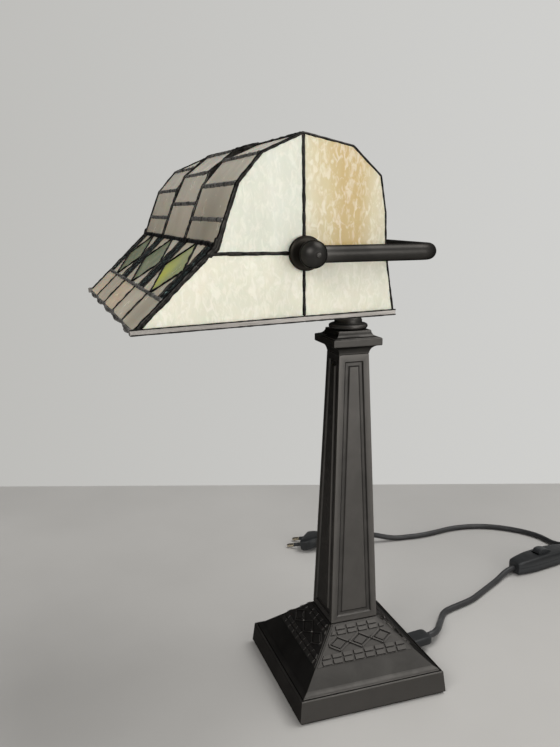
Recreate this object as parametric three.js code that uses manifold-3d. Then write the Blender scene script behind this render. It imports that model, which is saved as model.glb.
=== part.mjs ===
// Banker desk lamp with a leaded-glass shade on a tapered square column.
// Millimetres, +Z up. The origin is the middle of the base's underside, on the desk.
// X runs along the shade, -Y is the user's side and +Y is the back, where the cord leaves.

import * as THREE from 'three';
import { mergeVertices } from 'three/addons/utils/BufferGeometryUtils.js';
import Module from 'manifold-3d';

const wasm = await Module();
wasm.setup();

// ---------- driving dimensions ----------

const GAP = 0.3;

// base and column, as half widths of squares and heights above the desk
const FELT_THICK = 1.5;
const FOOT_HALF = 63.5;
const FOOT_Z = FELT_THICK + GAP;
const PLINTH_HALF = 61.6;
const PLINTH_Z = 19.7;
const SLOPE_HALF = 59.1;
const COLUMN_FOOT_HALF = 20.5;
const COLUMN_FOOT_Z = 54.8;
const COLUMN_TOP_HALF = 12.6;
const COLUMN_TOP_Z = 278.2;
const CAPITAL_HALF = 20.4;
const CAPITAL_SLAB_Z = [285.8, 291.2];
const CAPITAL_NECK_HALF = 13.5;
const CAPITAL_TOP_Z = 297;
const WALL = 3;
const ROD_R = 5;
const ROD_HOLE_R = 5.6;

// shade hinge line and the yoke that carries it
const PIVOT_Y = -84;
const PIVOT_Z = 364;
const TUBE_R = 5;
const TUBE_BORE_R = 3.5;
const ARM_X = 139.5;
const BACK_BAR_Y = -6.5;
const CORNER_R = 10;
const BALL_R = 8.2;
const DISC_R = 10.2;
const SPIGOT_R = 5;
const SPIGOT_HOLE_R = 5.4;
const BOSS_R = 11;

// shade: section corners as [y, z], from the front hem over the ridge to the rear hem
const SHADE_HALF_LENGTH = 124.6;
const GLASS = 2.6;
const CAME = 3;
const HEM_FRONT = [-186.2, 322.8];
const KNEE = [-137.4, 369.9];
const SHOULDER_LOW = [-124.6, 404.4];
const SHOULDER_HIGH = [-109.8, 421.3];
const RIDGE = [-84.5, 432.5];
const CROWN_REAR = [-52.9, 425.6];
const REAR_HIGH = [-34.4, 408.6];
const REAR_MID = [-30.8, 387.1];
const REAR_LOW = [-30.2, PIVOT_Z];
const HEM_REAR = [-24.4, 327];
const HEM_MIDDLE = [-83.8, 325.6];
const OUTLINE = [
  HEM_FRONT, KNEE, SHOULDER_LOW, SHOULDER_HIGH, RIDGE,
  CROWN_REAR, REAR_HIGH, REAR_MID, REAR_LOW, HEM_REAR,
];
const END_THICK = 3.2;
const ROOF_HALF_LENGTH = SHADE_HALF_LENGTH - END_THICK - GAP;
const STRIPS = 3;
const LEAD = 2.4;
const FOLD_MARGIN = 1.5;
const SKIRT_SPLIT = 0.36;

// lampholder and bulb, on the hinge line at the left end
const HOLDER_R = 19;
const HOLDER_X = [-110.7, -60];
const BULB_R = 30;

// mains lead
const CORD_D = 6;
const GLAND_WIDTH = 16;
const GLAND_HEIGHT = 8;
const GLAND_REACH = 20.5;
const GLAND_SEAT = 1.2;
const GLAND_Z = 10.5;
const GLAND_YAW = 7.5;
const SWITCH_CENTRE = [-103, 282.7];
const SWITCH_HEADING = 99.6;
const SWITCH_LENGTH = 80;
const SWITCH_WIDTH = 22;
const SWITCH_SPLIT_Z = 8.5;
const SWITCH_TOP_Z = 17;
const COIL_CENTRE = [-63, 388];
const COIL_R = 30;
const PLUG_FACE = [-237, 53.1];
const PLUG_HEADING = 51;
const PLUG_PIN_LENGTH = 19;
const PLUG_PIN_SPACING = 18.6;
const PLUG_BODY_LENGTH = 29;
const PLUG_TAIL_LENGTH = 11;
const PLUG_AXIS_Z = 7;
const PLUG_PITCH = 14;

// ---------- materials ----------

function material(color, roughness, metalness = 0) {
  return new THREE.MeshStandardMaterial({ color, roughness, metalness });
}

const bronze = material(0x3b3733, 0.42, 0.8);
const darkBronze = material(0x1c1a19, 0.45, 0.75);
const steel = material(0xa5a6a8, 0.35, 0.9);
const castIron = material(0x3a3a3c, 0.7, 0.6);
const felt = material(0x26241f, 0.95);
const solder = material(0x24221f, 0.4, 0.85);
const creamGlass = material(0xd9d3c2, 0.18);
const amberGlass = material(0xd8c59b, 0.18);
const skirtGlass = material(0xb8b08f, 0.2);
const opalGlass = material(0xf2efe6, 0.25);
const phenolic = material(0x1d1a18, 0.4);
const blackPlastic = material(0x16171a, 0.4);
const blackCord = material(0x141518, 0.55);
const brass = material(0xb08a45, 0.3, 0.95);

// ---------- solids ----------

function toSolid(geometry) {
  const bare = new THREE.BufferGeometry();
  bare.setAttribute('position', geometry.getAttribute('position').clone());
  bare.setIndex(geometry.index);
  const merged = mergeVertices(bare, 1e-4);
  const corners = merged.index.array;
  const triVerts = [];
  for (let i = 0; i < corners.length; i += 3) {
    const [a, b, c] = [corners[i], corners[i + 1], corners[i + 2]];
    if (a !== b && b !== c && c !== a) {
      triVerts.push(a, b, c);
    }
  }
  const vertProperties = new Float32Array(merged.getAttribute('position').array);
  const mesh = new wasm.Mesh({ numProp: 3, vertProperties, triVerts: new Uint32Array(triVerts) });
  return new wasm.Manifold(mesh);
}

function toGeometry(solid) {
  const mesh = solid.getMesh();
  const geometry = new THREE.BufferGeometry();
  geometry.setAttribute('position', new THREE.BufferAttribute(mesh.vertProperties, 3));
  geometry.setIndex(new THREE.BufferAttribute(mesh.triVerts, 1));
  geometry.computeVertexNormals();
  return geometry;
}

function cut(geometry, tools) {
  let solid = toSolid(geometry);
  for (const tool of tools) {
    solid = solid.subtract(toSolid(tool));
  }
  return toGeometry(solid);
}

function join(geometry, others) {
  let solid = toSolid(geometry);
  for (const other of others) {
    solid = solid.add(toSolid(other));
  }
  return toGeometry(solid);
}

function closed(profile) {
  return [...profile, profile[0]];
}

// a solid with a square plan, from [half width, z] points
function squareTurned(profile) {
  const points = profile.map(([half, z]) => new THREE.Vector2(half * Math.SQRT2, z));
  return new THREE.LatheGeometry(points, 4, Math.PI / 4).rotateX(Math.PI / 2);
}

// a solid of revolution about Z, from [radius, z] points
function roundTurned(profile, segments = 32) {
  const points = profile.map(([r, z]) => new THREE.Vector2(r, z));
  return new THREE.LatheGeometry(points, segments).rotateX(Math.PI / 2);
}

// the same about X, from [radius, x] points
function turnedAlongX(profile, segments = 32) {
  return roundTurned(profile, segments).rotateY(Math.PI / 2);
}

function rod(radius, low, high, segments = 24) {
  return roundTurned([[0, low], [radius, low], [radius, high], [0, high]], segments);
}

function ring(outer, inner, low, high, segments = 32) {
  return roundTurned(closed([[inner, low], [outer, low], [outer, high], [inner, high]]), segments);
}

function rodAlongX(radius, low, high, segments = 24) {
  return rod(radius, low, high, segments).rotateY(Math.PI / 2);
}

function ringAlongX(outer, inner, low, high, segments = 32) {
  return ring(outer, inner, low, high, segments).rotateY(Math.PI / 2);
}

function atPivot(geometry) {
  return geometry.translate(0, PIVOT_Y, PIVOT_Z);
}

function box(sizeX, sizeY, sizeZ, x, y, z) {
  return new THREE.BoxGeometry(sizeX, sizeY, sizeZ).translate(x, y, z);
}

// a quarter-ellipse hollow moulding from one [half, z] point to another
function cavetto(from, to, startsUpright, steps = 5) {
  const points = [];
  for (let i = 0; i <= steps; i += 1) {
    const angle = (i / steps) * Math.PI / 2;
    const rise = startsUpright ? Math.sin(angle) : 1 - Math.cos(angle);
    const run = startsUpright ? 1 - Math.cos(angle) : Math.sin(angle);
    points.push([from[0] + (to[0] - from[0]) * run, from[1] + (to[1] - from[1]) * rise]);
  }
  return points;
}

// a polygon of [y, z] points made into a plate from x0 to x1
function plateAlongX(points, x0, x1) {
  const shape = new THREE.Shape(points.map(([y, z]) => new THREE.Vector2(y, z)));
  const geometry = new THREE.ExtrudeGeometry(shape, { depth: x1 - x0, bevelEnabled: false });
  const turn = new THREE.Matrix4().makeBasis(
    new THREE.Vector3(0, 1, 0),
    new THREE.Vector3(0, 0, 1),
    new THREE.Vector3(1, 0, 0),
  );
  return geometry.applyMatrix4(turn).translate(x0, 0, 0);
}

// a polyline or polygon moved sideways: each side by its own distance, to the right of its direction
function offsetSides(points, distances, isClosed) {
  const count = points.length;
  const sides = isClosed ? count : count - 1;
  const lines = [];
  for (let i = 0; i < sides; i += 1) {
    const a = points[i];
    const b = points[(i + 1) % count];
    const length = Math.hypot(b[0] - a[0], b[1] - a[1]);
    const along = [(b[0] - a[0]) / length, (b[1] - a[1]) / length];
    const start = [a[0] + along[1] * distances[i], a[1] - along[0] * distances[i]];
    lines.push({ start, along, end: [start[0] + along[0] * length, start[1] + along[1] * length] });
  }
  const moved = [];
  for (let i = 0; i < count; i += 1) {
    const before = isClosed ? lines[(i + sides - 1) % sides] : lines[i - 1];
    const after = lines[i];
    if (!before) {
      moved.push(after.start);
    } else if (!after) {
      moved.push(before.end);
    } else {
      const cross = before.along[0] * after.along[1] - before.along[1] * after.along[0];
      const gap = [after.start[0] - before.start[0], after.start[1] - before.start[1]];
      const t = (gap[0] * after.along[1] - gap[1] * after.along[0]) / cross;
      moved.push([before.start[0] + before.along[0] * t, before.start[1] + before.along[1] * t]);
    }
  }
  return moved;
}

// a bar lying in the shade's skin between two section points, below the outer face
function skinSlab(a, b, x0, x1, endMargins, outerDepth, innerDepth) {
  const length = Math.hypot(b[0] - a[0], b[1] - a[1]);
  const along = new THREE.Vector3(0, (b[0] - a[0]) / length, (b[1] - a[1]) / length);
  const outward = new THREE.Vector3(0, -along.z, along.y);
  const middle = (length + endMargins[0] - endMargins[1]) / 2;
  const geometry = new THREE.BoxGeometry(
    x1 - x0,
    length - endMargins[0] - endMargins[1],
    innerDepth - outerDepth,
  );
  const place = new THREE.Matrix4().makeBasis(new THREE.Vector3(1, 0, 0), along, outward);
  const centre = new THREE.Vector3((x0 + x1) / 2, a[0], a[1]);
  centre.addScaledVector(along, middle);
  centre.addScaledVector(outward, -(innerDepth + outerDepth) / 2);
  return geometry.applyMatrix4(place.setPosition(centre));
}

// a curve whose steps fall on its own points, so that straight runs take no extra steps
class StationPath extends THREE.Curve {
  constructor(stations) {
    super();
    this.stations = stations;
  }

  getPoint(t) {
    const place = t * (this.stations.length - 1);
    const i = Math.min(Math.floor(place), this.stations.length - 2);
    return this.stations[i].clone().lerp(this.stations[i + 1], place - i);
  }

  getPointAt(t) {
    return this.getPoint(t);
  }

  getTangentAt(t) {
    const last = this.stations.length - 1;
    const i = Math.round(t * last);
    const before = this.stations[Math.max(i - 1, 0)];
    const after = this.stations[Math.min(i + 1, last)];
    const here = this.stations[i];
    const into = i > 0 ? here.clone().sub(before).normalize() : after.clone().sub(here).normalize();
    const out = i < last ? after.clone().sub(here).normalize() : into;
    return into.clone().add(out).normalize();
  }
}

function discShape(radius, sides, bore = 0) {
  const corners = (r) => {
    const points = [];
    for (let i = 0; i < sides; i += 1) {
      const angle = (i / sides) * 2 * Math.PI;
      points.push(new THREE.Vector2(r * Math.cos(angle), r * Math.sin(angle)));
    }
    return points;
  };
  const shape = new THREE.Shape(corners(radius));
  if (bore > 0) {
    shape.holes.push(new THREE.Path(corners(bore)));
  }
  return shape;
}

function cordTube(route, steps) {
  const points = route.map((p) => new THREE.Vector3(...p));
  const curve = new THREE.CatmullRomCurve3(points, false, 'centripetal');
  const shape = discShape(CORD_D / 2, 8);
  return new THREE.ExtrudeGeometry(shape, { steps, extrudePath: curve, bevelEnabled: false });
}

// ---------- the lamp ----------

const lamp = new THREE.Group();

function add(name, geometry, look, parent = lamp) {
  const mesh = new THREE.Mesh(geometry, look);
  mesh.name = name;
  parent.add(mesh);
  return mesh;
}

// Base: felt, steel cover plate, ballast and the hollow casting over them.
const PLATE_Z = FOOT_Z + GAP;
const PLATE_THICK = 1.2;
const PLATE_HALF = 56;
const FELT_HALF = FOOT_HALF - 1.5;
const ROD_END_HOLE_R = 4;
const BALLAST_Z = PLATE_Z + PLATE_THICK + GAP;
const BALLAST_TOP_Z = 16;
const BALLAST_HALF = [48, 45];
const BALLAST_HOLE_HALF = 10;
const CASTING_RIM_HALF = 57.5;
const CASTING_NECK_HALF = 8;
const CORD_HOLE_R = 4.6;

function addBase() {
  const pad = squareTurned([
    [0, 0],
    [FELT_HALF, 0],
    [FELT_HALF, FELT_THICK],
    [0, FELT_THICK],
  ]);
  add('felt_pad', pad, felt);

  const plate = squareTurned([
    [0, PLATE_Z],
    [PLATE_HALF, PLATE_Z],
    [PLATE_HALF, PLATE_Z + PLATE_THICK],
    [0, PLATE_Z + PLATE_THICK],
  ]);
  add('base_plate', cut(plate, [rod(ROD_END_HOLE_R, 0, PLATE_Z + 2 * PLATE_THICK, 16)]), steel);

  const ballast = squareTurned(closed([
    [BALLAST_HOLE_HALF, BALLAST_Z],
    [BALLAST_HALF[0], BALLAST_Z],
    [BALLAST_HALF[1], BALLAST_TOP_Z],
    [BALLAST_HOLE_HALF, BALLAST_TOP_Z],
  ]));
  add('base_weight', ballast, castIron);

  const casting = squareTurned(closed([
    [CASTING_RIM_HALF, FOOT_Z],
    [FOOT_HALF, FOOT_Z],
    [PLINTH_HALF, PLINTH_Z],
    [SLOPE_HALF, PLINTH_Z - 0.4],
    [COLUMN_FOOT_HALF, COLUMN_FOOT_Z],
    [CASTING_NECK_HALF, COLUMN_FOOT_Z],
    [CASTING_NECK_HALF, 49],
    [18, 49],
    [52, 18.5],
    [57, 15],
  ]));
  const cordHole = rod(CORD_HOLE_R, PLINTH_HALF - 12, FOOT_HALF + 2, 16);
  cordHole.rotateX(-Math.PI / 2).translate(0, 0, GLAND_Z);
  add('base_casting', cut(casting, [cordHole]), bronze);
}

// Column: hollow tapered box with a sunk channel round a raised field on each face,
// its tie rod, capital and neck.
const CHANNEL_DEPTH = 1.3;
const CHANNEL_WIDTH = 3.8;
const PANEL_STILE = 5.1;
const PANEL_Z = [60.6, 272.6];

function columnHalf(z) {
  const share = (z - COLUMN_FOOT_Z) / (COLUMN_TOP_Z - COLUMN_FOOT_Z);
  return COLUMN_FOOT_HALF + (COLUMN_TOP_HALF - COLUMN_FOOT_HALF) * share;
}

function panelBlock(margin, depth) {
  const [lowZ, highZ] = [PANEL_Z[0] + margin, PANEL_Z[1] - margin];
  const [low, high] = [columnHalf(lowZ), columnHalf(highZ)];
  const section = [[low - depth, lowZ], [low + 2, lowZ], [high + 2, highZ], [high - depth, highZ]];
  const wedge = plateAlongX(section, -1, 1);
  const position = wedge.getAttribute('position');
  for (let i = 0; i < position.count; i += 1) {
    const half = columnHalf(position.getZ(i)) - PANEL_STILE - margin;
    position.setX(i, Math.sign(position.getX(i)) * half);
  }
  return wedge;
}

function channelCutter(quarterTurns) {
  const outer = panelBlock(0, CHANNEL_DEPTH);
  const inner = panelBlock(CHANNEL_WIDTH, CHANNEL_DEPTH + 1);
  return cut(outer, [inner]).rotateZ(quarterTurns * Math.PI / 2);
}

function addColumn() {
  const foot = COLUMN_FOOT_Z + GAP;
  const top = COLUMN_TOP_Z;
  const shaft = squareTurned(closed([
    [columnHalf(foot) - WALL, foot],
    [columnHalf(foot), foot],
    [columnHalf(top), top],
    [columnHalf(top) - WALL, top],
  ]));
  add('column_shaft', cut(shaft, [0, 1, 2, 3].map(channelCutter)), bronze);

  const seat = COLUMN_TOP_Z + GAP;
  const capital = squareTurned(closed([
    ...cavetto([COLUMN_TOP_HALF + 0.4, seat], [CAPITAL_HALF, CAPITAL_SLAB_Z[0]], true),
    [CAPITAL_HALF - 0.4, CAPITAL_SLAB_Z[1]],
    ...cavetto([CAPITAL_HALF - 1.6, CAPITAL_SLAB_Z[1] + 0.2], [CAPITAL_NECK_HALF, CAPITAL_TOP_Z], false),
    [4, CAPITAL_TOP_Z],
    [4, seat],
  ]));
  add('capital', cut(capital, [rod(ROD_HOLE_R, COLUMN_TOP_Z - 2, CAPITAL_TOP_Z + 2)]), bronze);

  const neck = CAPITAL_TOP_Z + GAP;
  const collarProfile = [
    [ROD_HOLE_R, 0], [14.2, 0], [15.2, 1], [15.4, 2.4], [14.6, 3.8], [12.2, 4.4],
    [11, 5.2], [10.6, 7.4], [9.2, 9.4], [7.4, 10.4], [ROD_HOLE_R, 10.8],
  ];
  const collar = roundTurned(closed(collarProfile.map(([radius, up]) => [radius, neck + up])));
  add('neck_collar', collar, bronze);

  const rodTop = neck + 8;
  const bolt = join(rod(ROD_R, 40, rodTop, 16), [rod(10, 41, 48.6, 6)]);
  add('tie_rod', cut(bolt, [rod(3, 35, rodTop + 5, 12)]), steel);

  const stem = ring(TUBE_R, TUBE_BORE_R, rodTop + GAP, PIVOT_Z - 6, 24);
  add('stem_tube', stem, bronze);
}

// Yoke: one bent tube with a ball at each end, held in a saddle on top of the stem.
function yokeStations() {
  const front = PIVOT_Y + 4;
  const bends = 6;
  const half = [];
  half.push(new THREE.Vector3(ARM_X, front, PIVOT_Z));
  half.push(new THREE.Vector3(ARM_X, (front + BACK_BAR_Y - CORNER_R) / 2, PIVOT_Z));
  for (let i = 0; i <= bends; i += 1) {
    const angle = (i / bends) * Math.PI / 2;
    half.push(new THREE.Vector3(
      ARM_X - CORNER_R + CORNER_R * Math.cos(angle),
      BACK_BAR_Y - CORNER_R + CORNER_R * Math.sin(angle),
      PIVOT_Z,
    ));
  }
  half.push(new THREE.Vector3(ARM_X / 3, BACK_BAR_Y, PIVOT_Z));
  const other = half.map((p) => new THREE.Vector3(-p.x, p.y, p.z)).reverse();
  return [...half, ...other];
}

function ballGeometry(radius) {
  const profile = [];
  for (let i = 0; i <= 14; i += 1) {
    const angle = -Math.PI / 2 + (i / 14) * Math.PI;
    profile.push([Math.max(radius * Math.cos(angle), 0), radius * Math.sin(angle)]);
  }
  profile[0][0] = 0;
  profile[14][0] = 0;
  return turnedAlongX(profile, 24);
}

function addYoke() {
  const stations = yokeStations();
  const path = new StationPath(stations);
  const tube = new THREE.ExtrudeGeometry(discShape(TUBE_R, 16, TUBE_BORE_R), {
    steps: stations.length - 1,
    extrudePath: path,
    bevelEnabled: false,
  });
  const clearBalls = [1, -1].map((side) => {
    const ball = ballGeometry(BALL_R + GAP).translate(side * ARM_X, 0, 0);
    return atPivot(ball);
  });
  add('yoke_tube', cut(tube, clearBalls), bronze);

  const hubLow = PIVOT_Z - 14;
  const hub = roundTurned([
    [0, hubLow],
    [6.6, hubLow],
    [8, hubLow + 3],
    [8, PIVOT_Z + 5.5],
    [6.8, PIVOT_Z + 7.4],
    [0, PIVOT_Z + 8.2],
  ]);
  const saddle = rodAlongX(TUBE_R + GAP, -20, 20).translate(0, BACK_BAR_Y, PIVOT_Z);
  const frontTrim = box(30, 12, 40, 0, BACK_BAR_Y - 6 - 0.2, PIVOT_Z);
  const socket = rod(TUBE_R + GAP, hubLow - 2, PIVOT_Z - 5.7);
  add('yoke_hub', cut(hub, [saddle, frontTrim, socket]), bronze);

  for (const [side, name] of [[1, 'right'], [-1, 'left']]) {
    const spigot = rodAlongX(SPIGOT_R, 111, ARM_X, 20);
    const tip = rodAlongX(1.6, ARM_X, ARM_X + BALL_R + 0.5, 12);
    const knob = join(ballGeometry(BALL_R).translate(ARM_X, 0, 0), [spigot, tip]);
    const discX = SHADE_HALF_LENGTH + 0.4;
    const disc = ringAlongX(DISC_R, SPIGOT_R + GAP, discX, discX + 4.4);
    const nut = cut(rodAlongX(9, 114.5, 120.6, 6), [rodAlongX(SPIGOT_R + GAP, 110, 125)]);
    for (const [label, geometry, look] of [
      ['pivot_ball', knob, bronze],
      ['pivot_disc', disc, darkBronze],
      ['pivot_nut', nut, brass],
    ]) {
      const facing = side === 1 ? geometry : geometry.rotateZ(Math.PI);
      add(`${label}_${name}`, atPivot(facing), look);
    }
  }
}

// Lampholder and bulb, screwed on the left spigot, so they stay still when the shade tips.
function addLight() {
  const [back, mouth] = HOLDER_X;
  const holder = turnedAlongX(closed([
    [4, back], [12, back], [15, back + 3], [HOLDER_R - 1, back + 10], [HOLDER_R - 1, mouth - 14],
    [HOLDER_R + 1.5, mouth - 12], [HOLDER_R + 1.5, mouth - 8], [HOLDER_R, mouth - 7], [HOLDER_R, mouth],
    [14.5, mouth], [14.5, mouth - 27], [4, mouth - 27],
  ]));
  add('lampholder', atPivot(holder), phenolic);

  const capBack = mouth - 26;
  const cap = turnedAlongX([
    [0, capBack], [5, capBack], [8, capBack + 3], [12.8, capBack + 6], [12.8, mouth + 1], [0, mouth + 1],
  ]);
  add('bulb_cap', atPivot(cap), brass);

  const glassBack = mouth + 1 + GAP;
  const globe = glassBack + 50;
  const profile = [[0, glassBack], [13, glassBack], [14.5, glassBack + 8], [19, glassBack + 20]];
  for (let i = 0; i <= 8; i += 1) {
    const angle = -0.66 + (i / 8) * (Math.PI / 2 + 0.66);
    profile.push([Math.max(BULB_R * Math.cos(angle), 0), globe + BULB_R * Math.sin(angle)]);
  }
  profile[profile.length - 1][0] = 0;
  add('bulb_glass', atPivot(turnedAlongX(profile, 24)), opalGlass);
}

// Shade: glass panes in a soldered lattice, tipping about the hinge line as one piece.
const shade = new THREE.Group();
lamp.add(shade);

function stripEdges(index, halfLead) {
  const width = (2 * ROOF_HALF_LENGTH) / STRIPS;
  const left = -ROOF_HALF_LENGTH + index * width;
  const outer = LEAD / 2;
  return [
    left + (index === 0 ? outer : halfLead),
    left + width - (index === STRIPS - 1 ? outer : halfLead),
  ];
}

function between(a, b, share) {
  return [a[0] + (b[0] - a[0]) * share, a[1] + (b[1] - a[1]) * share];
}

function roofPanes() {
  const panes = [];
  const names = ['far', 'middle', 'near'];
  const skirtSplit = between(HEM_FRONT, KNEE, SKIRT_SPLIT);
  const whole = [-ROOF_HALF_LENGTH + LEAD / 2, ROOF_HALF_LENGTH - LEAD / 2];
  panes.push({
    name: 'skirt_lower_glass',
    a: HEM_FRONT,
    b: skirtSplit,
    x: whole,
    ends: [2, LEAD / 2],
    look: creamGlass,
  });
  for (let i = 0; i < STRIPS; i += 1) {
    const x = stripEdges(i, LEAD / 2);
    panes.push({
      name: `skirt_diamond_glass_${names[i]}`,
      a: skirtSplit,
      b: KNEE,
      x,
      ends: [LEAD / 2, FOLD_MARGIN],
      look: skirtGlass,
    });
    const rows = [
      ['lower', KNEE, SHOULDER_LOW],
      ['middle', SHOULDER_LOW, SHOULDER_HIGH],
      ['upper', SHOULDER_HIGH, RIDGE],
    ];
    for (const [row, a, b] of rows) {
      panes.push({
        name: `roof_glass_${row}_${names[i]}`,
        a,
        b,
        x,
        ends: [FOLD_MARGIN, FOLD_MARGIN],
        look: creamGlass,
      });
    }
  }
  const rear = [
    ['rear_glass_crown', RIDGE, CROWN_REAR], ['rear_glass_upper', CROWN_REAR, REAR_HIGH],
    ['rear_glass_middle', REAR_HIGH, REAR_MID], ['rear_glass_lower', REAR_LOW, HEM_REAR],
  ];
  for (const [name, a, b] of rear) {
    const ends = name === 'rear_glass_lower' ? [FOLD_MARGIN, 2] : [FOLD_MARGIN, FOLD_MARGIN];
    panes.push({ name, a, b, x: whole, ends, look: creamGlass });
  }
  return panes;
}

function addRoof() {
  const inner = offsetSides(OUTLINE, OUTLINE.map(() => CAME), false);
  const band = plateAlongX([...OUTLINE, ...inner.reverse()].reverse(), -ROOF_HALF_LENGTH, ROOF_HALF_LENGTH);
  const panes = roofPanes();
  const windows = panes.map(({ a, b, x, ends }) => skinSlab(
    a, b, x[0] - GAP, x[1] + GAP, [ends[0] - GAP, ends[1] - GAP], -0.6, CAME + 0.3,
  ));
  windows.push(skinSlab(
    REAR_MID, REAR_LOW, -ROOF_HALF_LENGTH + LEAD / 2 - GAP, ROOF_HALF_LENGTH - LEAD / 2 + GAP,
    [FOLD_MARGIN - GAP, FOLD_MARGIN - GAP], -0.6, CAME + 0.3,
  ));
  add('roof_came', cut(band, windows), solder, shade);
  const inset = (CAME - GLASS) / 2;
  for (const { name, a, b, x, ends, look } of panes) {
    add(name, skinSlab(a, b, x[0], x[1], ends, inset, inset + GLASS), look, shade);
  }
  add('rear_glass_wall', skinSlab(
    REAR_MID, REAR_LOW, -ROOF_HALF_LENGTH + LEAD / 2, ROOF_HALF_LENGTH - LEAD / 2,
    [FOLD_MARGIN, FOLD_MARGIN], inset, inset + GLASS,
  ), creamGlass, shade);
}

function endPanes() {
  const pivot = [PIVOT_Y, PIVOT_Z];
  const edge = 2;
  const lead = LEAD / 2;
  const share = (KNEE[1] - PIVOT_Z) / (KNEE[1] - HEM_FRONT[1]);
  const skirtLead = [KNEE[0] - share * (KNEE[0] - HEM_FRONT[0]), PIVOT_Z];
  return [
    {
      name: 'upper_front', look: creamGlass,
      points: [[KNEE[0], PIVOT_Z], KNEE, SHOULDER_LOW, SHOULDER_HIGH, RIDGE, pivot],
      margins: [edge, edge, edge, edge, lead, lead],
    },
    {
      name: 'upper_rear', look: amberGlass,
      points: [pivot, RIDGE, CROWN_REAR, REAR_HIGH, REAR_MID, REAR_LOW],
      margins: [lead, edge, edge, edge, edge, lead],
    },
    {
      name: 'lower_front', look: creamGlass,
      points: [HEM_FRONT, skirtLead, pivot, HEM_MIDDLE],
      margins: [edge, lead, lead, 3],
    },
    {
      name: 'lower_rear', look: creamGlass,
      points: [HEM_MIDDLE, pivot, REAR_LOW, HEM_REAR],
      margins: [lead, lead, edge, 3],
    },
  ];
}

function addEnds() {
  for (const [side, label] of [[1, 'right'], [-1, 'left']]) {
    const x0 = side === 1 ? SHADE_HALF_LENGTH - END_THICK : -SHADE_HALF_LENGTH;
    const x1 = x0 + END_THICK;
    const inset = (END_THICK - GLASS) / 2;
    const bossHole = atPivot(rodAlongX(BOSS_R + GAP, x0 - 1, x1 + 1, 32));
    const windows = [];
    for (const { name, look, points, margins } of endPanes()) {
      const pane = offsetSides(points, margins, true).reverse();
      const window = offsetSides(points, margins.map((m) => m - GAP), true).reverse();
      windows.push(plateAlongX(window, x0 - 1, x1 + 1));
      const glass = plateAlongX(pane, x0 + inset, x1 - inset);
      add(`end_glass_${name}_${label}`, cut(glass, [bossHole]), look, shade);
    }
    const sheet = plateAlongX([...OUTLINE, HEM_MIDDLE].reverse(), x0, x1);
    const boss = atPivot(rodAlongX(BOSS_R, x0, x1, 32));
    const bore = atPivot(rodAlongX(SPIGOT_HOLE_R, x0 - 1, x1 + 1, 20));
    const lattice = join(cut(sheet, windows), [boss]);
    add(`end_came_${label}`, cut(lattice, [bore]), solder, shade);
  }
}

// Mains lead: gland, in-line switch, a wound coil of spare length and a flat two-pin plug.
const BASE_TO_SWITCH = [
  [-2.7, 84.3, 10.5], [-5, 91.9, 10.5], [-9.7, 98.3, 10.1], [-15.9, 103.3, 8.9], [-22.3, 108.1, 7.2],
  [-28.7, 112.9, 5.4], [-35.1, 117.7, 3.9], [-41.4, 122.7, 3.1], [-46.3, 129, 3], [-49.1, 136.4, 3],
  [-51.3, 144.1, 3], [-53.5, 151.8, 3], [-55.7, 159.5, 3], [-58.5, 167, 3], [-62.1, 174.1, 3],
  [-66, 181.1, 3], [-73.8, 195.1, 3], [-81.6, 209.1, 3.1], [-85.5, 216.1, 3.5], [-89.4, 223.1, 4.5],
  [-92.7, 230.3, 5.8], [-95.1, 237.9, 6.8], [-96.3, 242.9, 7],
];
const SWITCH_TO_COIL = [
  [-109.7, 322.5, 7], [-110.7, 328.5, 6.8], [-111.4, 335, 5.6], [-111.2, 343, 4], [-109.3, 352, 3],
  [-105.6, 363, 3], [-101.8, 373, 3], [-99.5, 381, 3], [-99, 387.7, 3],
];
const COIL_TO_PLUG = [
  [-63.3, 352, 9], [-73, 351.9, 9.1], [-84, 351.3, 9.6], [-95, 349.3, 10.2], [-105, 346, 10.8],
  [-114, 342, 10.3], [-122.5, 337.5, 7.6], [-131, 333.3, 4.8], [-140, 330.3, 3.2], [-150, 328.6, 3],
  [-161, 326.8, 3], [-173, 321.6, 3], [-185.5, 312.5, 3], [-197.5, 300.5, 3], [-207.5, 286, 3],
  [-214, 270, 3], [-217.3, 253, 3], [-217.8, 237, 3], [-215.5, 220, 3], [-213.3, 203, 3],
  [-213, 188, 3], [-214.1, 175.3, 3], [-214.8, 167.8, 3], [-215.6, 160.4, 3.5], [-216.4, 152.9, 4.9],
  [-217.3, 145.5, 6.8], [-218.1, 138, 9], [-217.4, 130.6, 11.3], [-214.6, 123.6, 13.5],
  [-210.1, 117.6, 15.5],
  [-206.5, 111.1, 17], [-205, 103.8, 18.1], [-205.5, 96.3, 18.5], [-208.2, 89.3, 18], [-212.4, 83.6, 16.8],
];

function headed(geometry, degrees, centre, z) {
  return geometry.rotateZ(THREE.MathUtils.degToRad(degrees)).translate(centre[0], centre[1], z);
}

// a boat-shaped half of the switch's body, along X, widest in the middle
function switchShell(low, high, bellyHigh) {
  const half = SWITCH_LENGTH / 2;
  const outline = [
    [-half, low],
    [half, low],
    [half, high],
    [half * 0.55, bellyHigh],
    [-half * 0.55, bellyHigh],
    [-half, high],
  ];
  const shape = new THREE.Shape(outline.map(([x, z]) => new THREE.Vector2(x, z)));
  const depth = SWITCH_WIDTH;
  const block = new THREE.ExtrudeGeometry(shape, { depth, bevelEnabled: false });
  return block.rotateX(Math.PI / 2).translate(0, depth / 2, 0);
}

const ROCKER_LENGTH = 17;
const ROCKER_WIDTH = 10;
const ROCKER_AXIS_Z = 14.6;

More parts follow.
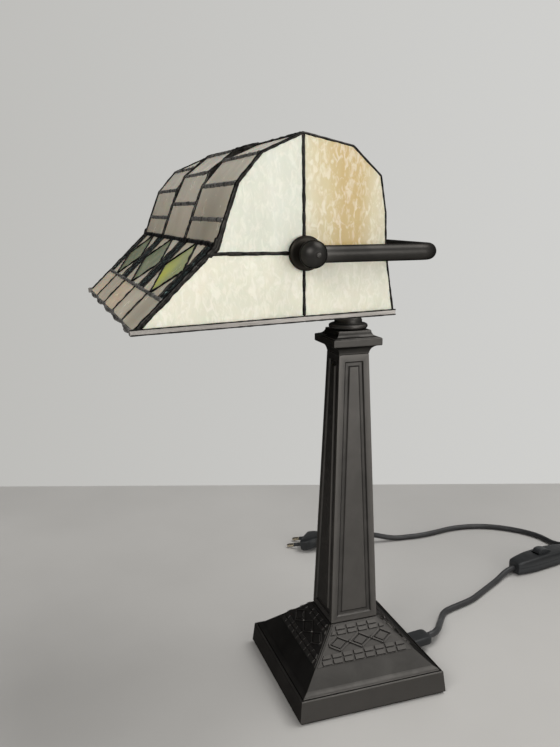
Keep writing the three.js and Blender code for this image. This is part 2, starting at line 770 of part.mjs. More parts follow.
function addCord() {
  const reach = GLAND_REACH - GLAND_SEAT;
  const block = box(GLAND_WIDTH, reach, GLAND_HEIGHT, 0, GLAND_SEAT + reach / 2, 0);
  const neck = rod(4.2, -11, GLAND_SEAT + 4, 16).rotateX(-Math.PI / 2);
  block.rotateZ(THREE.MathUtils.degToRad(GLAND_YAW));
  add('cord_gland', join(block, [neck]).translate(0, FOOT_HALF, GLAND_Z), blackPlastic);
  add('cord_base_to_switch', cordTube(BASE_TO_SWITCH, 18), blackCord);

  const lower = switchShell(0, 6.3, SWITCH_SPLIT_Z);
  const upper = switchShell(SWITCH_SPLIT_Z + GAP, 13, SWITCH_TOP_Z);
  const rockerRoom = box(ROCKER_LENGTH + 6, ROCKER_WIDTH + 1, 20, 0, 0, SWITCH_SPLIT_Z + 11.4);
  add('switch_lower_shell', headed(lower, SWITCH_HEADING, SWITCH_CENTRE, 0), blackPlastic);
  const topShell = cut(upper, [rockerRoom]);
  add('switch_upper_shell', headed(topShell, SWITCH_HEADING, SWITCH_CENTRE, 0), blackPlastic);

  const rocker = new THREE.Shape();
  rocker.moveTo(-ROCKER_LENGTH / 2, 1.6);
  rocker.lineTo(-2.4, -3);
  rocker.lineTo(2.4, -3);
  rocker.lineTo(ROCKER_LENGTH / 2, 1.6);
  rocker.lineTo(ROCKER_LENGTH / 2, 3.6);
  rocker.lineTo(0, 2.2);
  rocker.lineTo(-ROCKER_LENGTH / 2, 3.6);
  rocker.closePath();
  const key = new THREE.ExtrudeGeometry(rocker, { depth: ROCKER_WIDTH, bevelEnabled: false });
  key.rotateX(Math.PI / 2).translate(0, ROCKER_WIDTH / 2, 0);
  key.rotateY(THREE.MathUtils.degToRad(10));
  add('switch_rocker', headed(key, SWITCH_HEADING, SWITCH_CENTRE, ROCKER_AXIS_Z), blackPlastic);

  add('cord_switch_to_coil', cordTube(SWITCH_TO_COIL, 8), blackCord);
  const coilOuter = COIL_R + 1.5 * CORD_D + 0.2;
  const coilInner = COIL_R - 1.5 * CORD_D - 0.2;
  const coil = ring(coilOuter, coilInner, 0, 2 * CORD_D, 32).translate(COIL_CENTRE[0], COIL_CENTRE[1], 0);
  const mouths = [
    box(12, 26, 9, COIL_CENTRE[0] - 36, COIL_CENTRE[1] - 13, 3),
    box(26, 12, 9, COIL_CENTRE[0] - 13, COIL_CENTRE[1] - 36, 9.5),
  ];
  add('cord_coil', cut(coil, mouths), blackCord);
  add('cord_coil_to_plug', cordTube(COIL_TO_PLUG, 42), blackCord);

}

// turns a piece of the plug made along +X: tail tipped up off the desk, then round to its heading
function plugged(geometry) {
  geometry.rotateY(-THREE.MathUtils.degToRad(PLUG_PITCH));
  return headed(geometry, PLUG_HEADING, PLUG_FACE, PLUG_AXIS_Z);
}

function addPlug() {
  const thick = 13;
  const halfWide = 16.5;
  const shoulder = 12;
  const chamfer = 2;
  const neckHalf = 7;
  const tailHalf = 4.2;
  const end = PLUG_BODY_LENGTH + PLUG_TAIL_LENGTH - GAP;
  const side = [
    [0, halfWide - chamfer],
    [chamfer, halfWide],
    [shoulder, halfWide],
    [PLUG_BODY_LENGTH, neckHalf],
    [end, tailHalf],
  ];
  const outline = [...side.map(([x, y]) => [x, -y]), ...side.reverse()];
  const shape = new THREE.Shape(outline.map(([x, y]) => new THREE.Vector2(x, y)));
  const body = new THREE.ExtrudeGeometry(shape, { depth: thick, bevelEnabled: false });
  add('plug_body', plugged(body.translate(0, 0, -thick / 2)), blackPlastic);
  for (const [turn, label] of [[1, 'left'], [-1, 'right']]) {
    const pin = roundTurned([
      [0, 0],
      [1.2, 0],
      [2, 1.4],
      [2, PLUG_PIN_LENGTH - GAP],
      [0, PLUG_PIN_LENGTH - GAP],
    ], 12);
    pin.rotateY(Math.PI / 2).translate(-PLUG_PIN_LENGTH, turn * PLUG_PIN_SPACING / 2, 0);
    add(`plug_pin_${label}`, plugged(pin), brass);
  }
}

addBase();
addColumn();
addYoke();
addLight();
addRoof();
addEnds();
addCord();
addPlug();

export default lamp;
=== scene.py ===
import math

import bmesh
import bpy
from mathutils import Matrix, Vector, noise


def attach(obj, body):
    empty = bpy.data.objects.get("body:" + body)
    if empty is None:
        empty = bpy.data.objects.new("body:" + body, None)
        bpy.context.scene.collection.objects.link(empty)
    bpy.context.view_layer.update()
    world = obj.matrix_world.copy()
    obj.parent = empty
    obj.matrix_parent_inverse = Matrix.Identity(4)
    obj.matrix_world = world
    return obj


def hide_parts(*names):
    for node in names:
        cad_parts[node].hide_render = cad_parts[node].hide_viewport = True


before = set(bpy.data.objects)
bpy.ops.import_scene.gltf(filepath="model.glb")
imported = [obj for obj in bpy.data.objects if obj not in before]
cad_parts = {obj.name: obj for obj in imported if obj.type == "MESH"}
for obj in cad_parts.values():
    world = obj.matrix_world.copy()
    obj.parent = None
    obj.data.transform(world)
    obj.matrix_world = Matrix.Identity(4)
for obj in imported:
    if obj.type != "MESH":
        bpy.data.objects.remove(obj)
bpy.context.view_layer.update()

# ---------- shared helpers ----------

UP = Vector((0, 0, 1))
ALONG_X = Vector((1, 0, 0))


def metres(millimetres):
    return round(millimetres / 1000, 9)


def rows_in_metres(*rows):
    return [tuple(metres(number) for number in row) for row in rows]


def add_object(name, data):
    made = bpy.data.objects.new(name, data)
    bpy.context.scene.collection.objects.link(made)
    return made


def placed(place, heading, tilt=0.0):
    """A matrix that tilts about Y, turns about Z and then moves. Both angles are in degrees."""
    turn = Matrix.Rotation(math.radians(heading), 4, "Z") @ Matrix.Rotation(math.radians(tilt), 4, "Y")
    return Matrix.Translation(place) @ turn


def circle(radius, count):
    angles = [2 * math.pi * i / count for i in range(count)]
    return [(radius * math.cos(angle), radius * math.sin(angle)) for angle in angles]


def arc(centre, radius, start, end, steps):
    """Points on a circle from one angle to another, both included."""
    angles = [start + (end - start) * i / steps for i in range(steps + 1)]
    return [(centre[0] + radius * math.cos(angle), centre[1] + radius * math.sin(angle)) for angle in angles]


# ---------- camera ----------

CAMERA_PLACE = Vector((0.5465, -0.2431, 0.3888))
CAMERA_FORWARD = Vector((-0.92549, 0.31520, -0.21005))
CAMERA_ROLL = math.radians(-0.311)
CAMERA_LENS = 36.72
SENSOR_LONG_SIDE = 36.0
CAMERA_NEAR = 0.01
CAMERA_FAR = 50


def make_camera():
    data = bpy.data.cameras.new("camera")
    data.lens = CAMERA_LENS
    data.sensor_width = SENSOR_LONG_SIDE
    data.clip_start = CAMERA_NEAR
    data.clip_end = CAMERA_FAR
    turn = CAMERA_FORWARD.to_track_quat("-Z", "Y").to_matrix().to_4x4()
    camera = add_object("camera", data)
    camera.matrix_world = Matrix.Translation(CAMERA_PLACE) @ turn @ Matrix.Rotation(CAMERA_ROLL, 4, "Z")
    bpy.context.scene.camera = camera


make_camera()

# ---------- mains lead ----------

CORD_D = 0.006
CORD_LIFT = Vector((0, 0, 0.0001))
COIL_CENTRE = (-0.063, 0.388)
COIL_TRACKS = (0.0366, 0.0306, 0.0246)
COIL_LAYERS = (0.003, 0.009)
COIL_TURNS = 5.75
COIL_POINTS_PER_TURN = 24
# The turns over which the coil steps in, climbs to its second layer and steps out.
COIL_STEPS_IN = ((0.74, 1.0), (1.72, 1.98))
COIL_CLIMB = (2.66, 2.93)
COIL_STEPS_OUT = ((3.62, 3.88), (4.67, 4.93))
TIE_TURN = 0.5
TIE_THICK = 0.0008
TIE_REACH = 0.06
# The knots of the lead's centreline, in mm.
BASE_TO_SWITCH = rows_in_metres(
    (-2.7, 84.3, 10.5), (-5, 91.9, 10.5), (-9.7, 98.3, 10.1), (-15.9, 103.3, 8.9), (-22.3, 108.1, 7.2),
    (-28.7, 112.9, 5.4), (-35.1, 117.7, 3.9), (-41.4, 122.7, 3.1), (-46.3, 129, 3), (-49.1, 136.4, 3),
    (-51.3, 144.1, 3), (-53.5, 151.8, 3), (-55.7, 159.5, 3), (-58.5, 167, 3), (-62.1, 174.1, 3),
    (-66, 181.1, 3), (-73.8, 195.1, 3), (-81.6, 209.1, 3.1), (-85.5, 216.1, 3.5), (-89.4, 223.1, 4.5),
    (-92.7, 230.3, 5.8), (-95.1, 237.9, 6.8), (-96.3, 242.9, 7),
)
SWITCH_TO_COIL = rows_in_metres(
    (-109.7, 322.5, 7), (-110.7, 328.5, 6.8), (-111.4, 335, 5.6), (-111.2, 343, 4), (-109.3, 352, 3),
    (-105.6, 363, 3), (-101.8, 373, 3), (-99.5, 381, 3),
)
COIL_TO_PLUG = rows_in_metres(
    (-73, 351.9, 9.1), (-84, 351.3, 9.6), (-95, 349.3, 10.2), (-105, 346, 10.8), (-114, 342, 10.3),
    (-122.5, 337.5, 7.6), (-131, 333.3, 4.8), (-140, 330.3, 3.2), (-150, 328.6, 3), (-161, 326.8, 3),
    (-173, 321.6, 3), (-185.5, 312.5, 3), (-197.5, 300.5, 3), (-207.5, 286, 3), (-214, 270, 3),
    (-217.3, 253, 3), (-217.8, 237, 3), (-215.5, 220, 3), (-213.3, 203, 3), (-213, 188, 3),
    (-214.1, 175.3, 3), (-214.8, 167.8, 3), (-215.6, 160.4, 3.5), (-216.4, 152.9, 4.9),
    (-217.3, 145.5, 6.8), (-218.1, 138, 9), (-217.4, 130.6, 11.3), (-214.6, 123.6, 13.5),
    (-210.1, 117.6, 15.5), (-206.5, 111.1, 17), (-205, 103.8, 18.1), (-205.5, 96.3, 18.5),
    (-208.2, 89.3, 18), (-212.4, 83.6, 16.8),
)


def ease(low, high, x):
    share = min(max((x - low) / (high - low), 0.0), 1.0)
    return share * share * (3 - 2 * share)


def coil_points():
    """Three tracks wound inwards on the desk, then three outwards on top of them."""
    outer, _, inner = COIL_TRACKS
    step = (outer - inner) / 2
    points = []
    for i in range(int(COIL_TURNS * COIL_POINTS_PER_TURN) + 1):
        turn = i / COIL_POINTS_PER_TURN
        radius = outer - step * sum(ease(*turns, turn) for turns in COIL_STEPS_IN)
        radius += step * sum(ease(*turns, turn) for turns in COIL_STEPS_OUT)
        z = COIL_LAYERS[0] + (COIL_LAYERS[1] - COIL_LAYERS[0]) * ease(*COIL_CLIMB, turn)
        from_tie = (turn - TIE_TURN + 0.5) % 1.0 - 0.5
        z += TIE_THICK * math.exp(-((from_tie / TIE_REACH) ** 2))
        angle = math.pi - 2 * math.pi * turn
        points.append((COIL_CENTRE[0] + radius * math.cos(angle), COIL_CENTRE[1] + radius * math.sin(angle), z))
    return points


def cord_curve(name, points, finish):
    material, slot = finish
    data = bpy.data.curves.new(name, "CURVE")
    data.dimensions = "3D"
    data.bevel_depth = CORD_D / 2
    data.bevel_resolution = 5
    data.resolution_u = 4
    data.use_fill_caps = True
    spline = data.splines.new("BEZIER")
    spline.bezier_points.add(len(points) - 1)
    for knot, place in zip(spline.bezier_points, points):
        knot.co = Vector(place) + CORD_LIFT
        knot.handle_left_type = knot.handle_right_type = "AUTO"
    data.materials.append(material)
    curve = add_object(name, data)
    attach(curve, "stand")
    return curve


# ---------- finishes ----------

COAT_ROUGHNESS = 0.08
BRONZE_TINT = (0.08, 0.08, 0.08)
# Colour of the painted glints: near-white specks that stand in for light glinting off the end glass.
PAINTED_GLINT = (0.97, 0.94, 0.84)
GLASS_ROUGHNESS = (0.10, 0.30)
GLASS_SCATTER = 0.15
GLASS_SCATTER_DEPTH = 0.002


class Nodes:
    """A node tree built by calls. Each call gives the output socket of what it made."""

    def __init__(self, tree, coordinates="Object"):
        self.tree = tree
        self.place = self.add("TexCoord").outputs[coordinates]

    def give(self, node, inputs):
        """Links or sets a node's inputs. A colour has three numbers."""
        for name, value in inputs.items():
            socket = node.inputs[name]
            if isinstance(value, bpy.types.NodeSocket):
                self.tree.links.new(value, socket)
            else:
                socket.default_value = (*value, 1) if socket.type == "RGBA" else value

    def add(self, kind, inputs=None, **settings):
        node = self.tree.nodes.new("ShaderNode" + kind)
        for name, value in settings.items():
            setattr(node, name, value)
        self.give(node, inputs or {})
        return node

    def noise(self, scale, detail=4.0, stretch=None, distortion=0.0, rough=0.55):
        place = self.place
        if stretch:
            place = self.add("Mapping", {"Vector": place, "Scale": stretch}).outputs["Vector"]
        return self.add("TexNoise", {
            "Vector": place, "Scale": scale, "Detail": detail, "Roughness": rough, "Distortion": distortion,
        }).outputs["Fac"]

    def cells(self, scale):
        return self.add("TexVoronoi", {"Vector": self.place, "Scale": scale}).outputs["Distance"]

    def ramp(self, factor, stops):
        node = self.add("ValToRGB", {"Fac": factor})
        elements = node.color_ramp.elements
        while len(elements) < len(stops):
            elements.new(0.5)
        for element, (place, colour) in zip(elements, stops):
            element.position = place
            element.color = (*colour, 1)
        return node.outputs["Color"]

    def mix(self, factor, first, second, blend="MIX"):
        """The sockets of the mixed colours have no names of their own, so they go by number."""
        return self.add("Mix", {0: factor, 6: first, 7: second}, data_type="RGBA", blend_type=blend).outputs[2]

    def spread(self, factor, low, high, start=0.3, end=0.7):
        return self.add("MapRange", {
            "Value": factor, "From Min": start, "From Max": end, "To Min": low, "To Max": high,
        }).outputs["Result"]

    def edges(self):
        return self.spread(self.add("NewGeometry").outputs["Pointiness"], 0.0, 1.0, 0.51, 0.57)

    def along(self, axis, low, high, wander=0.0):
        """0 at low and 1 at high along X, Y or Z, with its line made uneven."""
        split = self.add("SeparateXYZ", {"Vector": self.place})
        share = self.spread(split.outputs[axis], 0.0, 1.0, low, high)
        if not wander:
            return share
        uneven = self.spread(self.noise(34, 4, (1, 1, 0.2)), -wander, wander)
        return self.add("Math", {0: share, 1: uneven}).outputs["Value"]

    def near(self, centre, radius):
        """1 at a point, falling to 0 at a radius from it."""
        away = self.add("VectorMath", {0: self.place, 1: centre}, operation="DISTANCE")
        return self.spread(away.outputs["Value"], 1.0, 0.0, 0.0, radius)


class Finish(Nodes):
    """A material whose colour, roughness and bump come from procedural nodes."""

    def __init__(self, name, metallic=0.0, roughness=0.4, coat=0.0, specular=0.5):
        self.material = bpy.data.materials.new(name)
        self.material.use_nodes = True
        super().__init__(self.material.node_tree)
        self.shader = self.tree.nodes["Principled BSDF"]
        self.give(self.shader, {
            "Metallic": metallic, "Roughness": roughness, "Coat Weight": coat,
            "Coat Roughness": COAT_ROUGHNESS, "Specular IOR Level": specular,
        })

    def done(self, slot, colour, grain, roughness, *layers):
        """The material and its slot.

        roughness is (low, high), spread by the grain. Each layer of bump is (factor, strength,
        height in metres); they add up.
        """
        below = {}
        for factor, strength, height in layers:
            bump = self.add("Bump", {"Strength": strength, "Distance": height, "Height": factor, **below})
            below = {"Normal": bump.outputs["Normal"]}
        self.give(self.shader, {"Base Color": colour, "Roughness": self.spread(grain, *roughness), **below})
        return self.material, slot


def bronze_finish(name, slot, dark, light, worn, roughness):
    made = Finish(name, metallic=0.92, specular=0.3)
    made.give(made.shader, {"Specular Tint": BRONZE_TINT})
    body = made.ramp(made.noise(38, 6, distortion=0.6), [(0.34, dark), (0.66, light)])
    return made.done(
        slot, made.mix(made.edges(), body, worn), made.noise(90, 5), roughness,
        (made.noise(2600, 2), 0.22, 0.00006), (made.noise(160, 4), 0.10, 0.00012),
    )


def solder_finish(name, dark, light, roughness, metallic=0.85):
    made = Finish(name, metallic=metallic)
    patina = made.ramp(made.noise(260, 6, distortion=0.8), [(0.36, dark), (0.60, light)])
    return made.done(
        "solder", patina, made.noise(320, 4), roughness,
        (made.noise(420, 4), 0.5, 0.00025), (made.noise(1900, 2), 0.2, 0.00006),
    )


def glass_finish(name, slot, streaks, clouds, share, stretch, rolled, painted_glints=0.0, patch=None, bands=None):
    """Opalescent glass: long streaks, soft clouds and the ripple of the rolled face.

    patch is (centre, radius, colour). bands is (axis, low, high, wander, strength, stops).
    """
    made = Finish(name, specular=0.3)
    along = made.ramp(
        made.noise(46, 5, stretch, distortion=0.7, rough=0.6), list(zip((0.30, 0.50, 0.68), streaks)),
    )
    soft = made.ramp(made.noise(24, 4, distortion=1.4, rough=0.62), list(zip((0.32, 0.52, 0.70), clouds)))
    body = made.mix(share, along, soft)
    if bands:
        axis, low, high, wander, strength, stops = bands
        body = made.mix(strength, body, made.ramp(made.along(axis, low, high, wander), stops))
    if patch:
        centre, radius, tint = patch
        body = made.mix(made.near(centre, radius), body, tint)
    # Painted glints: near-white specks mixed into the colour.
    if painted_glints:
        fine = made.noise(300, 3, (1, 1, 0.5), distortion=1.0)
        fine = made.ramp(fine, [(0.46, (0, 0, 0)), (0.64, (1, 1, 1))])
        body = made.mix(made.spread(fine, 0.0, painted_glints, 0.0, 1.0), body, PAINTED_GLINT)
    made.give(made.shader, {"Subsurface Weight": GLASS_SCATTER, "Subsurface Scale": GLASS_SCATTER_DEPTH})
    return made.done(
        slot, body, made.noise(70, 4), GLASS_ROUGHNESS,
        (made.noise(60, 3, stretch), rolled, 0.0010), (made.noise(330, 3, distortion=0.8), rolled, 0.0003),
    )


def ripple_glass_finish():
    made = Finish("ripple_glass", specular=0.35)
    colour = made.ramp(
        made.noise(330, 4, distortion=1.5),
        [(0.46, (0.002, 0.003, 0.003)), (0.58, (0.007, 0.012, 0.013)), (0.71, (0.24, 0.38, 0.36))],
    )
    return made.done(
        "skirt_glass", colour, made.noise(200, 3), (0.14, 0.34),
        (made.cells(330), 0.9, 0.0010), (made.noise(700, 3), 0.5, 0.0004),
    )


def plain_finish(
    name, slot, dark, light, scale, roughness, grain,
    metallic=0.0, stretch=None, coat=0.0, worn=None, specular=0.5,
):
    """grain is (noise scale, strength, height in metres) of the surface's bump."""
    made = Finish(name, metallic=metallic, coat=coat, specular=specular)
    body = made.ramp(made.noise(scale, 5, stretch, distortion=0.4), [(0.34, dark), (0.66, light)])
    if worn:
        body = made.mix(made.edges(), body, worn)
    fine, strength, height = grain
    rough = made.noise(scale * 2.3, 4, stretch)
    return made.done(slot, body, rough, roughness, (made.noise(fine, 3, stretch), strength, height))


BRONZE = bronze_finish(
    "bronze", "bronze_metal",
    (0.037, 0.0355, 0.0335), (0.054, 0.0515, 0.0485), (0.095, 0.090, 0.085), (0.38, 0.49),
)
# A lighter copy of the bronze for the column: painted light, standing in for the window light on its upright faces.
COLUMN_BRONZE_PAINTED_LIT = bronze_finish(
    "column_bronze_painted_lit", "bronze_metal",
    (0.066, 0.063, 0.060), (0.092, 0.0875, 0.083), (0.15, 0.142, 0.134), (0.36, 0.47),
)
DARK_BRONZE = bronze_finish(
    "dark_bronze", "dark_bronze",
    (0.010, 0.009, 0.0085), (0.018, 0.0165, 0.015), (0.04, 0.036, 0.03), (0.36, 0.5),
)
SOLDER = solder_finish("solder", (0.0035, 0.0033, 0.003), (0.030, 0.028, 0.0255), (0.26, 0.46))
# Lighter grey solder for the roof's cross leads and the hem bead: partly the tinned look, partly a painted highlight
# and painted light on leads that face away from the lamps.
TINNED_AND_LIT_SOLDER = solder_finish("tinned_and_lit_solder", (0.04, 0.038, 0.036), (0.40, 0.385, 0.365), (0.34, 0.5), metallic=0.7)
ROOF_GLASS = glass_finish(
    "roof_glass", "cream_glass",
    ((0.60, 0.53, 0.405), (0.71, 0.63, 0.50), (0.79, 0.72, 0.60)),
    ((0.64, 0.56, 0.42), (0.72, 0.64, 0.51), (0.79, 0.72, 0.60)),
    0.4, (1, 0.15, 0.15), 0.12,
    # Painted light: the roof glass grows lighter towards the top, standing in for the light that falls from above.
    bands=("Z", 0.370, 0.430, 0.0, 0.55, [
        (0.0, (0.60, 0.54, 0.43)), (0.35, (0.82, 0.75, 0.62)), (0.60, (0.93, 0.89, 0.77)),
        (1.0, (0.94, 0.91, 0.81)),
    ]),
    # Painted shade: a darker patch on the near strip's lower panes.
    patch=((0.085, -0.1345, 0.3770), 0.060, (0.44, 0.395, 0.31)),
)
SKIRT_CREAM = glass_finish(
    "skirt_cream", "cream_glass",
    ((0.67, 0.58, 0.45), (0.76, 0.68, 0.54), (0.83, 0.77, 0.65)),
    ((0.74, 0.63, 0.47), (0.78, 0.72, 0.58), (0.81, 0.77, 0.69)),
    0.4, (1, 0.2, 0.2), 0.15,
    # Painted shade: a darker patch at the near end's front hem corner.
    patch=((0.101, -0.1776, 0.3311), 0.040, (0.50, 0.455, 0.36)),
)
PEACH = glass_finish(
    "peach_glass", "cream_glass",
    ((0.86, 0.67, 0.47), (0.93, 0.78, 0.58), (0.95, 0.87, 0.70)),
    ((0.84, 0.65, 0.46), (0.93, 0.80, 0.60), (0.95, 0.89, 0.75)),
    0.4, (1, 0.2, 0.2), 0.15,
)
GREEN = glass_finish(
    "green_glass", "skirt_glass",
    ((0.21, 0.26, 0.16), (0.28, 0.325, 0.19), (0.38, 0.41, 0.27)),
    ((0.22, 0.27, 0.17), (0.31, 0.345, 0.22), (0.50, 0.51, 0.37)),
    0.5, (1, 0.3, 0.3), 0.12,
)
# The nearest diamond: the green glass made lighter and yellower, a painted glow that stands in for light shining
# through it.
OLIVE_WITH_PAINTED_GLOW = glass_finish(
    "olive_glass_painted_glow", "skirt_glass",
    ((0.34, 0.39, 0.20), (0.44, 0.49, 0.24), (0.56, 0.59, 0.32)),
    ((0.35, 0.40, 0.21), (0.46, 0.50, 0.25), (0.60, 0.61, 0.34)),
    0.5, (1, 0.3, 0.3), 0.12,
    # Painted glow: a bright yellow-green patch on the nearest diamond.
    patch=((0.066, -0.1590, 0.3490), 0.022, (0.78, 0.80, 0.14)),
)
PEARL = glass_finish(
    "pearl_glass", "cream_glass",
    ((0.65, 0.675, 0.57), (0.72, 0.73, 0.62), (0.77, 0.78, 0.69)),
    ((0.65, 0.69, 0.60), (0.72, 0.73, 0.63), (0.77, 0.74, 0.64)),
    0.35, (1, 1, 0.10), 0.20, painted_glints=0.32,
)
PEARL_LOW = glass_finish(
    "pearl_low_glass", "cream_glass",
    ((0.74, 0.735, 0.61), (0.80, 0.79, 0.655), (0.85, 0.84, 0.72)),
    ((0.70, 0.715, 0.59), (0.80, 0.785, 0.65), (0.86, 0.81, 0.67)),
    0.5, (1, 0.6, 0.4), 0.26, painted_glints=0.5,
)
AMBER = glass_finish(
    "amber_glass", "amber_glass",
    ((0.66, 0.57, 0.36), (0.60, 0.48, 0.25), (0.50, 0.36, 0.15)),
    ((0.64, 0.54, 0.33), (0.60, 0.48, 0.26), (0.56, 0.42, 0.19)),
    0.35, (1, 1, 0.10), 0.20, painted_glints=0.38,
    bands=("Y", -0.084, -0.030, 0.09, 0.72, [
        (0.04, (0.74, 0.70, 0.52)), (0.22, (0.68, 0.58, 0.34)), (0.40, (0.55, 0.38, 0.13)),
        (0.60, (0.57, 0.41, 0.16)), (0.76, (0.68, 0.62, 0.43)), (1.0, (0.70, 0.71, 0.60)),
    ]),
)
RIPPLE = ripple_glass_finish()
BLACK_PLASTIC = plain_finish(
    "black_plastic", "black_plastic", (0.006, 0.0068, 0.0076), (0.012, 0.0132, 0.0145), 120, (0.32, 0.46),
    (1500, 0.18, 0.00006), worn=(0.030, 0.032, 0.034), specular=0.28,
)
CORD_SHEATH = plain_finish(
    "cord_sheath", "black_cord", (0.011, 0.011, 0.012), (0.022, 0.0225, 0.024), 60, (0.36, 0.52),
    (900, 0.2, 0.0001),
)
PHENOLIC = plain_finish(
    "phenolic", "phenolic", (0.012, 0.009, 0.008), (0.026, 0.020, 0.017), 70, (0.22, 0.36),
    (700, 0.1, 0.00008), coat=0.3,
)
RIM_METAL = plain_finish(
    "rim_metal", "solder", (0.10, 0.092, 0.084), (0.30, 0.28, 0.26), 420, (0.28, 0.46),
    (1100, 0.35, 0.0001), metallic=0.85, stretch=(1, 0.08, 1), worn=(0.36, 0.34, 0.32),
)
BRASS = plain_finish(
    "brass", "brass", (0.30, 0.25, 0.17), (0.46, 0.40, 0.29), 130, (0.20, 0.38),
    (1800, 0.2, 0.00004), metallic=1.0, stretch=(0.2, 1, 1), worn=(0.62, 0.55, 0.42),
)
STEEL = plain_finish(
    "zinc_steel", None, (0.36, 0.37, 0.39), (0.52, 0.52, 0.53), 110, (0.28, 0.46),
    (900, 0.3, 0.00006), metallic=1.0,
)
IRON = plain_finish(
    "cast_iron", None, (0.035, 0.034, 0.034), (0.075, 0.072, 0.07), 160, (0.55, 0.8),
    (1300, 0.7, 0.0003), metallic=0.5,
)
FELT = plain_finish(
    "felt", "felt", (0.010, 0.009, 0.008), (0.030, 0.027, 0.022), 900, (0.85, 0.98), (3200, 0.9, 0.0004),
)
OPAL = plain_finish(
    "opal_glass", "opal_glass", (0.80, 0.79, 0.75), (0.90, 0.89, 0.86), 30, (0.14, 0.24),
    (90, 0.08, 0.0004), coat=0.5,
)

# ---------- geometry ----------

BEVEL_SEGMENTS = 2
SMALLEST_RADIUS = 1e-5
BEAD_STEP = 0.0011
BEAD_END = 0.55
SAME_PLACE = 1e-6


def add_bevel(piece, width, angle=30.0):
    bevel = piece.modifiers.new("bevel", "BEVEL")
    bevel.width = width
    bevel.segments = BEVEL_SEGMENTS
    bevel.limit_method = "ANGLE"
    bevel.angle_limit = math.radians(angle)
    bevel.harden_normals = True


def finish_piece(name, shape, finish, *nodes, body="stand", sharp=34.0, soften=None):
    """Makes a piece of the bmesh, in the place of the nodes.

    Edges over the angle sharp stay sharp, unless soften is given: the (width, angle) of a bevel.
    """
    material, slot = finish
    bmesh.ops.recalc_face_normals(shape, faces=shape.faces)
    mesh = bpy.data.meshes.new(name)
    shape.to_mesh(mesh)
    shape.free()
    mesh.materials.append(material)
    mesh.shade_smooth()
    piece = add_object(name, mesh)
    if soften:
        add_bevel(piece, *soften)
    else:
        mesh.set_sharp_from_angle(angle=math.radians(sharp))
    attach(piece, body)
    if nodes:
        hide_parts(*nodes)
    return piece


def shade_piece(name, shape, finish, *nodes, **edges):
    return finish_piece(name, shape, finish, *nodes, body="shade", **edges)


def skin(shape, rows, closed=False):
    """Joins rings of points, all as long, with a flat face at each end unless the rows close."""
    rows = [[shape.verts.new(point) for point in row] for row in rows]
    pairs = list(zip(rows, rows[1:]))
    if closed:
        pairs.append((rows[-1], rows[0]))
    for low, high in pairs:
        for i in range(len(low)):
            j = (i + 1) % len(low)
            shape.faces.new((low[i], low[j], high[j], high[i]))
    if not closed:
        shape.faces.new(rows[0][::-1])
        shape.faces.new(rows[-1])


def lathe(profile, segments=64, centre=None, start=0.0, side=1, closed=False, shape=None):
    """Turns a profile about Z, or about the line along X through a centre.

    profile is (radius, place along the axis) in mm, the places counted from start in metres.
    """
    if shape is None:
        shape = bmesh.new()
    rows = []
    for radius, place in profile:
        ring = circle(max(metres(radius), SMALLEST_RADIUS), segments)
        along = side * (start + metres(place))
        if centre is None:
            rows.append([(a, b, along) for a, b in ring])
        else:
            rows.append([Vector((along, a, b)) + Vector(centre) for a, b in ring])
    skin(shape, rows, closed)
    return shape


def square_turned(profile, closed=False):
    """profile is (half width, z) in mm."""
    shape = bmesh.new()
    skin(shape, [
        [(half * x, half * y, z) for x, y in ((1, -1), (1, 1), (-1, 1), (-1, -1))]
        for half, z in rows_in_metres(*profile)
    ], closed)
    return shape


def sweep(shape, points, section, side=UP):
    """Carries a closed section along a line of points. section(i) gives (across, up) offsets."""
    rows = []
    last = len(points) - 1
    for i, point in enumerate(points):
        ahead = (points[min(i + 1, last)] - points[max(i - 1, 0)]).normalized()
        side = (side - ahead * side.dot(ahead)).normalized()
        across = ahead.cross(side)
        rows.append([point + across * a + side * b for a, b in section(i)])
    skin(shape, rows)


def stations(points, step):
    """Points about a step apart along a polyline, with its corners kept."""
    made = [Vector(points[0])]
    for a, b in zip(points, points[1:]):
        a, b = Vector(a), Vector(b)
        count = max(1, round((b - a).length / step))
        made.extend(a.lerp(b, (i + 1) / count) for i in range(count))
    return made


def station_values(points, values, step):
    """A value for each of the stations, worked out from those at the polyline's corners."""
    made = [values[0]]
    for a, b, start, end in zip(points, points[1:], values, values[1:]):
        count = max(1, round((Vector(b) - Vector(a)).length / step))
        made.extend(start + (end - start) * (i + 1) / count for i in range(count))
    return made


def bead(shape, points, half_width, half_height, facing, seed, lumps=0.16, count=10):
    """A run of hand-laid solder: an oval section that swells and thins along its length.

    half_width is one width, or one for each of the points.
    """
    line = stations(points, BEAD_STEP)
    ends = (0, len(line) - 1)
    widths = half_width if isinstance(half_width, list) else [half_width] * len(points)
    widths = station_values(points, widths, BEAD_STEP)

    def section(i):
        wander = noise.noise(Vector((i * BEAD_STEP / 0.0042, seed * 3.7, 0.3)))
        fine = noise.noise(Vector((i * BEAD_STEP / 0.0017, seed * 1.3, 5.1)))
        swell = 1 + lumps * (1.4 * wander + 0.45 * fine)
        close = BEAD_END if i in ends else 1.0
        shift = widths[i] * 0.12 * noise.noise(Vector((i * BEAD_STEP / 0.006, 9.2, seed)))
        return [
            (widths[i] * swell * close * a + shift, half_height * swell * close * b) for a, b in circle(1, count)
        ]

    sweep(shape, line, section, facing)


